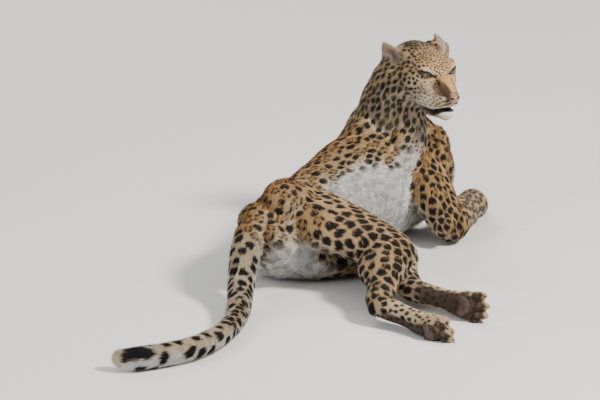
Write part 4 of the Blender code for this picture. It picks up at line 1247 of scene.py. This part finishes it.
class Coat:
    """Tufts rooted on the skin: long thin closed spikes that lie along the body."""

    def __init__(self, skin, field, spots, head, bones, patches, chooser, limits):
        self.corners = read(skin.data.polygons, "vertices", 3, np.int32)
        self.field = field
        self.spots = spots
        self.head = head
        self.bones = bones
        self.patches = patches
        self.chooser = chooser
        self.limits = limits

    def roots(self):
        """Faces and shares of their corners where tufts are rooted, by the wanted density."""
        a, b, c = [self.field.places[self.corners[:, k]] for k in range(3)]
        area = 0.5 * np.linalg.norm(np.cross(b - a, c - a), axis=1)
        density = self.field.density[self.corners].mean(axis=1) / CM ** 2
        centre = (a + b + c) / 3.0
        normal = self.field.normals[self.corners].mean(axis=1)
        hidden = (centre[:, 2] < HIDDEN_HEIGHT) & (normal[:, 2] < HIDDEN_FACING)
        ends = np.cumsum(np.where(hidden | self.bare(centre), 0.0, area * density))
        count = int(ends[-1])
        marks = (np.arange(count) + self.chooser.uniform(0.0, 1.0, count)) * ends[-1] / count
        faces = np.minimum(np.searchsorted(ends, marks), len(ends) - 1)
        first = np.sqrt(self.chooser.uniform(0.0, 1.0, count))
        second = self.chooser.uniform(0.0, 1.0, count)
        return faces, np.stack((1.0 - first, first * (1.0 - second), first * second), axis=1)

    def bare(self, places):
        """Places without hair: eyes, nose leather, mouth and pads."""
        x, y, z = self.head.local(places).T
        bare = (x > 5.0) & (np.abs(y) < 1.35) & (z > -4.8) & (z < -2.3)
        in_mouth = (np.abs(z - mouth_line(x)) < mouth_half(x)) & (x > 0.4) & (x < 9.0)
        bare |= in_mouth & (np.abs(y) < 5.0) & (z < -4.0)
        for side in SIDES:
            bare |= eye_opening(self.head, side, places)[0] < 1.35
        return bare

    def build(self):
        """Root, corners, colours and place in the unwrap of every tuft."""
        field, chooser = self.field, self.chooser
        faces, shares = self.roots()
        corners = self.corners[faces]
        count = len(faces)

        def spread(values):
            if values.ndim == 1:
                return (values[corners] * shares).sum(axis=1)
            return np.einsum("nk,nkj->nj", shares, values[corners])

        place = spread(field.places)
        normal = unit(spread(field.normals))
        lie = spread(field.lie)
        lie = unit(lie - normal * dots(lie, normal)[:, None])
        hair, rise, width = [spread(values) * MM for values in (field.hair, field.rise, field.width)]
        trunk_share = sum(spread(field.region[name]) for name in ("back", "haunch", "shoulder"))
        fluff = step(-spread(field.above), 0.15, 0.55) * clamp(trunk_share)
        muzzle = spread(field.region["head"]) * step(spread(field.head[:, 0]), -2.0, 3.5)
        hair *= (1.0 + 0.9 * fluff) * (1.0 - 0.42 * muzzle)
        rise *= (1.0 + 0.5 * fluff) * (1.0 - 0.45 * muzzle)
        width *= 1.0 - 0.2 * muzzle
        hair *= 1.0 - 0.6 * step(beyond_tail(place), -3.0, 1.0) * spread(field.region["tail_end"])
        hair *= chooser.uniform(0.75, 1.22, count)
        turn = chooser.normal(0.0, 0.16, count) * (1.0 + 1.4 * fluff) + 0.16 * waves(place, 0.035)
        turn += 0.30 * fluff * waves(place, 0.028, 1.0)
        ahead = turned_by(lie, np.cross(normal, lie), turn)
        lift = rise * chooser.uniform(0.45, 1.0, count)
        reach = ahead * hair[:, None] + normal * lift[:, None]
        low, high = self.limits
        room = np.where(reach > 0.0, high - place, place - low) / np.maximum(np.abs(reach), 1e-6)
        tip = place + reach * np.clip(room.min(axis=1), 0.25, 1.0)[:, None]
        half = (width * chooser.uniform(0.40, 0.62, count))[:, None]
        root = place - normal * ROOT_DEPTH
        aside = np.cross(normal, ahead) * half
        ridge = root + normal * (half * 0.8 + ROOT_DEPTH) + ahead * half * 2.0
        verts = above_floor(np.stack((root - aside, root + aside, ridge, tip), axis=1))
        seen = place + ahead * (hair * SEEN_SHARE)[:, None]
        colour = coat_colour(Field(self.bones, self.head, seen, normal), self.spots)
        colour *= chooser.uniform(0.84, 1.14, count)[:, None]
        # each tuft is painted darker at its feet and ridge as shade between the tufts, and a little lighter
        # at the tip
        colours = clamp(colour[:, None, :] * np.array(TUFT_PAINTED_SHADE)[None, :, None])
        return place, verts, colours, np.einsum("nk,nkj->nj", shares, self.patches[faces])

    def names(self, places):
        """Name of the coat's piece at each place of the body."""
        names = np.array([PIECES[name] for name in self.bones.region])
        names = names[np.argmax(self.bones.weights(places), axis=1)].astype(object)
        names[(names == "coat_head") & (self.head.local(places)[:, 0] > FACE_FROM)] = "coat_face"
        names[(names == "coat_trunk") & (places[:, 1] > FLANK_FROM)] = "coat_flank"
        return names.astype(str)

    def pieces(self, material):
        """Tufts of each region in a piece of its own."""
        place, *values = self.build()
        names = self.names(place)
        return [self.make(name, *(rows[names == name] for rows in values), material)
                for name in sorted(set(names))]

    @staticmethod
    def make(name, verts, colours, patch, material):
        mesh = bpy.data.meshes.new(name)
        mesh.vertices.add(len(verts) * 4)
        mesh.vertices.foreach_set("co", verts.astype(np.float32).ravel())
        loops = (np.arange(len(verts))[:, None, None] * 4 + np.array(TUFT_FACES)[None]).ravel()
        mesh.loops.add(len(loops))
        mesh.loops.foreach_set("vertex_index", loops.astype(np.int32))
        mesh.polygons.add(len(verts) * 4)
        mesh.polygons.foreach_set("loop_start", np.arange(0, len(loops), 3, dtype=np.int32))
        mesh.update(calc_edges=True)
        set_colours(mesh, colours.reshape(-1, 3))
        places = clamp((patch[:, None, :] + np.array(PATCH_CORNERS)[None]).reshape(-1, 2)[loops])
        mesh.uv_layers.new(name="OFBake").data.foreach_set("uv", places.astype(np.float32).ravel())
        mesh.materials.append(material)
        return link(name, mesh)


def tube(solid, path, radii, sides):
    """Closed round tube in a bmesh along a path of places, with a radius at each."""
    ways = headings(path)
    side = ways[0].cross(UP if abs(ways[0].z) < 0.9 else Vector((1.0, 0.0, 0.0)))
    rings = []
    for place, way, radius in zip(path, ways, radii):
        side = (side - way * side.dot(way)).normalized()
        rings.append((place, side * radius, way.cross(side) * radius))
    join_rings(solid, rings, sides)


def tubes(name, material, add, *values):
    """One piece from the tubes that a function adds to a bmesh."""
    solid = bmesh.new()
    add(solid, *values)
    return piece(name, solid, material)


# Eyeball: bulge of the cornea, its half angle, and the sphere's grid
CORNEA_BULGE = 0.05
CORNEA_ANGLE = 38.0
EYE_SEGMENTS = 72
EYE_RINGS = 60


def build_eye(head, side, material):
    """Eyeball with cornea, iris and pupil."""
    centre, outward, lateral, _ = head.eye(side)
    gaze = (outward * 0.55 + head.forward * 0.45 + head.up * -0.02).normalized()
    across = (lateral - gaze * lateral.dot(gaze)).normalized()
    over = gaze.cross(across)
    rings = []
    for index in range(1, EYE_RINGS):
        angle = math.pi * index / EYE_RINGS
        bulge = CORNEA_BULGE * math.cos(min(angle / math.radians(CORNEA_ANGLE), 1.0) * 0.5 * math.pi)
        reach = EYE_SIZE * (1.0 + bulge)
        wide = reach * math.sin(angle)
        rings.append((centre + gaze * (reach * math.cos(angle)), across * wide, over * wide))
    solid = bmesh.new()
    poles = (centre + gaze * EYE_SIZE * (1.0 + CORNEA_BULGE), centre - gaze * EYE_SIZE)
    join_rings(solid, rings, EYE_SEGMENTS, poles)
    thing = piece("eyeball_" + ("left" if side > 0 else "right"), solid, material)
    local = unit(coordinates(thing.data) - np.array(centre)) @ np.array((across, over, gaze)).T
    angle = np.degrees(np.arccos(np.clip(local[:, 2], -1.0, 1.0)))
    turn = np.arctan2(local[:, 1], local[:, 0])
    streak = 0.5 + 0.25 * np.sin(turn * 23.0 + 2.0 * np.sin(turn * 7.0)) + 0.25 * np.sin(turn * 41.0 + 1.0)
    # dim iris tones: the iris's own grey-green, darkened in part as painted shade of the brow and lids
    colour = mix(IRIS_INNER, IRIS_OUTER, step(angle, 13.0, 25.0)) * (0.72 + 0.5 * streak)[:, None]
    colour = paint(colour, (EYE_DARK, step(angle, 31.0, 37.0)), (EYE_WHITE, step(angle, 40.0, 46.0) * 0.6),
                   (PUPIL, step(-angle, -13.0, -11.0)))
    set_colours(thing.data, colour)
    return thing


def add_lids(solid, head):
    """Dark rims of the upper and lower lid round each eye opening."""
    for side in SIDES:
        centre, outward, lateral, upward = head.eye(side)
        for tall, thick in ((UPPER_LID, 1.35), (-LOWER_LID, 0.75)):
            path, radii = [], []
            for share in np.linspace(-1.0, 1.0, 33).tolist():
                b = LID_LENGTH * share
                c = tall * max(1.0 - abs(share) ** 2.2, 0.0)
                a = math.sqrt(max(1.0 - b * b * 0.80 - c * c, 0.05))
                direction = (outward * a + lateral * b + upward * c).normalized()
                path.append(centre + direction * EYE_SIZE * 1.06)
                radii.append(thick * MM * (0.75 + 0.25 * (1.0 - share * share)))
            tube(solid, path, radii, 10)


def nose_object(head, material):
    """Nose leather with its nostrils."""
    sculpt = Sculpt()
    head_forms(sculpt, head, NOSE)
    thing = sculpt.finish("nose_leather", *NOSE_GRID)
    mesh = thing.data
    places, normals = coordinates(mesh), normals_of(mesh)
    x, y, z = head.local(places).T
    dark = np.zeros(len(places))
    for side in SIDES:
        u = y * side
        hole = hump((u, 0.68, 0.30), (z, -3.50, 0.26)) * step(x, 5.0, 5.6)
        curl = hump((u - 0.35 * (z + 3.3), 1.08, 0.15)) * span(z, -3.80, -3.55, -3.1, -2.85)
        push = np.clip(hole * 1.15 + 0.55 * curl * step(x, 4.8, 5.4), 0.0, 1.2)
        places -= (np.array(head.forward) * 0.55 + normals * 0.45) * (push * 0.62 * HEAD_UNIT)[:, None]
        dark = np.maximum(dark, clamp(push * 1.6))
    groove = hump((y, 0.0, 0.09)) * step(-z, 3.3, 3.7)
    places -= normals * (groove * 0.13 * HEAD_UNIT)[:, None]
    set_coordinates(mesh, places)
    colour = mix(NOSE_PINK, NOSE_EDGE, step(np.abs(y) - 0.35 * (x - 5.6), 0.72, 1.12))
    # the dents of the nostrils and the middle groove get painted shade
    set_colours(mesh, paint(colour, (NOSE_TOP, step(z, -3.1, -2.5) * 0.8),
                            (NOSTRIL_PAINTED_SHADE, np.maximum(dark, groove * 0.5))))
    mesh.shade_smooth()
    mesh.materials.append(material)
    return thing


def add_lips(solid, head, tree):
    """Moist dark lips above and below the mouth line."""
    for offset, thick in ((1.0, 1.3), (-1.0, 1.4)):
        path, radii = [], []
        for share in np.linspace(-1.0, 1.0, 49).tolist():
            turn = share * math.radians(128.0)
            away = head.vector(math.cos(turn), math.sin(turn), 0.0).normalized()
            x = 2.0 + 3.4 * math.cos(turn)
            middle = head.at(2.0, 0.0, mouth_line(x) + offset * (mouth_half(x) + 0.02))
            hit = tree.ray_cast(middle + away * 0.12, -away)[0]
            if hit is not None:
                path.append(hit - away * 0.0008)
                radii.append(thick * MM * (1.0 - 0.55 * share * share))
        inner = [(before + place * 2.0 + after) / 4.0
                 for before, place, after in zip(path, path[1:], path[2:])]
        tube(solid, path[:1] + inner + path[-1:], radii, 8)


# Radius of a whisker at its root in metres
WHISKER_RADIUS = 0.00017
# Whiskers: place on the side of the head, rise, share of the sag and length in centimetres
WHISKERS = [(4.2 - 0.95 * column - 0.15 * row, -4.1 - 0.55 * row, 0.10, 1.0, 4.4 + 1.4 * column)
            for row in range(4) for column in range(3)] + [(-0.8, 2.0, 0.9, -0.3, 2.2)]


def add_whiskers(solid, head, tree, chooser):
    """Stiff whiskers in rows on the muzzle, and one over each eye."""
    shares = [index / 8.0 for index in range(9)]
    for side in SIDES:
        away = head.vector(0.0, side, 0.0).normalized()
        for x, z, rise, sagging, length in WHISKERS:
            root, normal = tree.ray_cast(head.at(x, side * 9.0, z), -away)[:2]
            if root is None:
                continue
            back = head.vector(-0.55 + 0.10 * (x - 3.0), side, rise).normalized()
            back = (back + normal * 0.35).normalized()
            length *= chooser.uniform(0.8, 1.15) * CM
            sag = chooser.uniform(0.10, 0.22) * sagging
            fall = head.vector(-1.0, 0.0, -sag * 2.0).normalized()
            path = [root - normal * 0.001 + back * (length * share) + fall * (0.22 * share * share * length)
                    for share in shares]
            tube(solid, path, [WHISKER_RADIUS * (1.0 - 0.85 * share) for share in shares], 5)


def pad_object(paw, material):
    """Big pad and toe pads of one paw."""
    sculpt = Sculpt()
    axes = (paw.forward, paw.side, paw.dorsal)
    sculpt.mass(paw.at(2.1, 0.0, -2.10), axes, (1.25, 1.55, 0.55), paw.unit)
    for offset in (-1.15, 1.15):
        sculpt.mass(paw.at(1.35, offset, -2.05), axes, (0.95, 0.80, 0.50), paw.unit)
    for middle, aimed, over in paw.toes():
        place = middle + (aimed * 0.85 - over * 1.10) * paw.unit
        sculpt.mass(place, (aimed, paw.side, over), (0.88, 0.60, 0.42), paw.unit)
    thing = sculpt.finish("pads_" + paw.name, *PAD_GRID)
    set_coordinates(thing.data, above_floor(coordinates(thing.data)))
    thing.data.shade_smooth()
    thing.data.materials.append(material)
    return thing


# Radii of a claw at its root and its tip, in metres
CLAW_ROOT = 0.0021
CLAW_TIP = 0.00015


def add_claws(solid, paws):
    """Tips of the drawn-in claws, one between the hairs of each toe."""
    shares = [index / 6.0 for index in range(7)]
    radii = [max(CLAW_ROOT * (1.0 - share) ** 0.8, CLAW_TIP) for share in shares]
    for paw in paws:
        for middle, aimed, over in paw.toes():
            curve = [aimed * (2.0 + 0.75 * share) + over * (0.55 - 0.60 * share * share) for share in shares]
            tube(solid, [middle + way * paw.unit for way in curve], radii, 8)


# Materials: roughness, specular, own colour where it isn't painted, sheen and clear coat; scale and two
# tones of a tint; pattern, scale, strength and distance of a relief
NOISE = "ShaderNodeTexNoise"
CELLS = "ShaderNodeTexVoronoi"
MATERIALS = {
    "skin": ((0.85, 0.2, None, 0.1, 0.0), None, (NOISE, 900.0, 0.5, 0.0008)),
    "coat": ((0.62, 0.28, None, 0.06, 0.0), None, None),
    "eye": ((0.10, 0.4, None, 0.0, 0.45), None, None),
    "dark_skin": ((0.50, 0.35, (0.02, 0.012, 0.01), 0.0, 0.0),
                  (400.0, (0.014, 0.009, 0.008), (0.035, 0.021, 0.018)), (NOISE, 1200.0, 0.3, 0.0004)),
    "nose": ((0.42, 0.5, None, 0.0, 0.0), None, (CELLS, 1100.0, 0.45, 0.0004)),
    "pad": ((0.62, 0.35, (0.08, 0.05, 0.04), 0.0, 0.0),
            (160.0, (0.045, 0.028, 0.023), (0.095, 0.062, 0.052)), (CELLS, 700.0, 0.6, 0.0006)),
    "claw": ((0.35, 0.5, (0.5, 0.42, 0.32), 0.0, 0.0),
             (300.0, (0.30, 0.23, 0.16), (0.60, 0.52, 0.42)), None),
    "whisker": ((0.4, 0.5, (0.82, 0.80, 0.75), 0.0, 0.0),
                (90.0, (0.72, 0.69, 0.63), (0.86, 0.84, 0.80)), None),
    "floor": ((0.9, 0.2, (0.86, 0.85, 0.83), 0.0, 0.0), None, None),
}


def make_material(name):
    """Principled material of the table; its colour is its own or the mesh's painted one."""
    (roughness, specular, colour, sheen, coat), tint, relief = MATERIALS[name]
    material = bpy.data.materials.new(name)
    material.use_nodes = True
    nodes, links = material.node_tree.nodes, material.node_tree.links
    shader = nodes["Principled BSDF"]
    shader.inputs["Roughness"].default_value = roughness
    shader.inputs["Specular IOR Level"].default_value = specular
    shader.inputs["Sheen Weight"].default_value = sheen
    shader.inputs["Coat Weight"].default_value = coat
    shader.inputs["Coat Roughness"].default_value = 0.03
    if colour is None:
        painted = nodes.new("ShaderNodeAttribute")
        painted.attribute_name = "coat"
        links.new(painted.outputs["Color"], shader.inputs["Base Color"])
    else:
        shader.inputs["Base Color"].default_value = (*colour, 1.0)
    if tint:
        add_tint(nodes, links, shader, *tint)
    if relief:
        add_relief(nodes, links, shader, *relief)
    return material


def add_relief(nodes, links, shader, kind, scale, strength, distance):
    """Fine relief from a noise or cell pattern."""
    place = nodes.new("ShaderNodeTexCoord")
    pattern = nodes.new(kind)
    pattern.inputs["Scale"].default_value = scale
    links.new(place.outputs["Object"], pattern.inputs["Vector"])
    bump = nodes.new("ShaderNodeBump")
    bump.inputs["Strength"].default_value = strength
    bump.inputs["Distance"].default_value = distance
    links.new(pattern.outputs["Distance" if kind == CELLS else "Fac"], bump.inputs["Height"])
    links.new(bump.outputs["Normal"], shader.inputs["Normal"])


def add_tint(nodes, links, shader, scale, *tones):
    """Colour that varies between two tones with a noise."""
    place = nodes.new("ShaderNodeTexCoord")
    noise = nodes.new(NOISE)
    noise.inputs["Scale"].default_value = scale
    noise.inputs["Detail"].default_value = 6.0
    ramp = nodes.new("ShaderNodeValToRGB")
    for element, position, tone in zip(ramp.color_ramp.elements, (0.35, 0.65), tones):
        element.position = position
        element.color = (*tone, 1.0)
    links.new(place.outputs["Object"], noise.inputs["Vector"])
    links.new(noise.outputs["Fac"], ramp.inputs["Fac"])
    links.new(ramp.outputs["Color"], shader.inputs["Base Color"])


# Camera: the photo's view of the animal, in metres and degrees
CAMERA_AZIMUTH = 0.0
CAMERA_ELEVATION = 14.0
CAMERA_DISTANCE = 12.0
CAMERA_TARGET = (-0.0157, 0.038, 0.155)
CAMERA_REACH = 60.0
FRAME_WIDTH = 1.16
SENSOR = 36.0

# Lights: name, place, target, size, power and colour
LIGHTS = (
    ("key", (3.2, -1.9, 3.6), (0.1, 0.1, 0.1), 1.0, 380.0, (1.0, 0.93, 0.83)),
    ("fill", (-3.2, -3.4, 2.4), (0.0, 0.0, 0.1), 2.6, 90.0, (0.92, 0.96, 1.0)),
    ("back", (-1.5, 4.2, 3.4), (0.0, 0.1, 0.1), 2.2, 110.0, (1.0, 0.97, 0.93)),
)
# Half width of the floor in metres, and colour and strength of the light from all round
FLOOR_SIZE = 15.0
SURROUNDING = (0.93, 0.96, 1.0, 1.0)
SURROUNDING_STRENGTH = 0.50


def look(thing, place, way):
    """Puts a camera or light at a place, looking along a way."""
    thing.location = place
    thing.rotation_euler = way.to_track_quat("-Z", "Y").to_euler()


def build_camera():
    data = bpy.data.cameras.new("camera")
    data.sensor_width = SENSOR
    data.lens = SENSOR * CAMERA_DISTANCE / FRAME_WIDTH
    data.clip_end = CAMERA_REACH
    camera = link("camera", data)
    turn, rise = math.radians(CAMERA_AZIMUTH), math.radians(CAMERA_ELEVATION)
    away = Vector((math.sin(turn) * math.cos(rise), -math.cos(turn) * math.cos(rise), math.sin(rise)))
    look(camera, Vector(CAMERA_TARGET) + away * CAMERA_DISTANCE, -away)
    bpy.context.scene.camera = camera


def build_studio():
    """Pale floor, soft lights and an even surrounding."""
    solid = bmesh.new()
    bmesh.ops.create_grid(solid, x_segments=1, y_segments=1, size=FLOOR_SIZE)
    mesh = bpy.data.meshes.new("floor")
    solid.to_mesh(mesh)
    solid.free()
    mesh.materials.append(make_material("floor"))
    floor = link("floor", mesh)
    for name, place, target, size, power, colour in LIGHTS:
        data = bpy.data.lights.new(name, "AREA")
        data.shape = "DISK"
        data.size = size
        data.energy = power
        data.color = colour
        look(link(name, data), place, Vector(target) - Vector(place))
    world = bpy.data.worlds.new("studio")
    world.use_nodes = True
    shade = world.node_tree.nodes["Background"]
    shade.inputs["Color"].default_value = SURROUNDING
    shade.inputs["Strength"].default_value = SURROUNDING_STRENGTH
    bpy.context.scene.world = world


def shift_all(things, shift):
    for thing in things:
        thing.data.transform(Matrix.Translation(shift))
        set_coordinates(thing.data, above_floor(coordinates(thing.data)))


def ride(thing, nodes=()):
    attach(thing, "root")
    if nodes:
        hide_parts(*nodes)


# Start of the random draws, painted shade on the skin under the coat, metres tips may pass the solids' box
SEED = 11
SKIN_PAINTED_SHADE = 0.9
BOX_MARGIN = 0.003


def main():
    chooser = np.random.RandomState(SEED)
    trunk = Trunk()
    head = HeadFrame()
    paws = all_paws(trunk)
    bones = Bones(trunk, head, paws)
    material = {name: make_material(name) for name in MATERIALS if name != "floor"}
    build_camera()
    build_studio()
    low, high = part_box("eye_left")
    shift = (low + high) * 0.5 - head.at(EYE_DEPTH, EYE_SPREAD, 0.0)

    skin = build_skin(trunk, head, paws, bones)
    field = Field(bones, head, coordinates(skin.data), normals_of(skin.data))
    spots = Spots(field, chooser)
    # the skin carries the coat's colours, darkened as painted shade under the hair
    set_colours(skin.data, coat_colour(field, spots) * SKIN_PAINTED_SHADE)
    patches = unwrap(skin)
    skin.data.materials.append(material["skin"])

    offset = np.array(shift)
    limits = (np.array(cad_box[0]) - offset - BOX_MARGIN, np.array(cad_box[1]) - offset + BOX_MARGIN)
    tufts = Coat(skin, field, spots, head, bones, patches, chooser, limits).pieces(material["coat"])

    tree = BVHTree.FromObject(skin, bpy.context.evaluated_depsgraph_get())
    eyes = [build_eye(head, side, material["eye"]) for side in SIDES]
    lid_rims = tubes("lid_rims", material["dark_skin"], add_lids, head)
    nose = nose_object(head, material["nose"])
    lips = tubes("lips", material["dark_skin"], add_lips, head, tree)
    whiskers = tubes("whiskers", material["whisker"], add_whiskers, head, tree, chooser)
    pads = [pad_object(paw, material["pad"]) for paw in paws]
    claws = tubes("claws", material["claw"], add_claws, paws)

    shift_all([skin, nose, lid_rims, lips, whiskers, claws] + eyes + pads + tufts, shift)
    ride(skin, FLESH)
    for tuft in tufts:
        ride(tuft)
    ride(eyes[0], ("eye_left",))
    ride(eyes[1], ("eye_right",))
    ride(nose, ("nose",))
    ride(lid_rims)
    ride(lips)
    ride(whiskers)
    ride(claws)
    for pad in pads:
        ride(pad)


main()
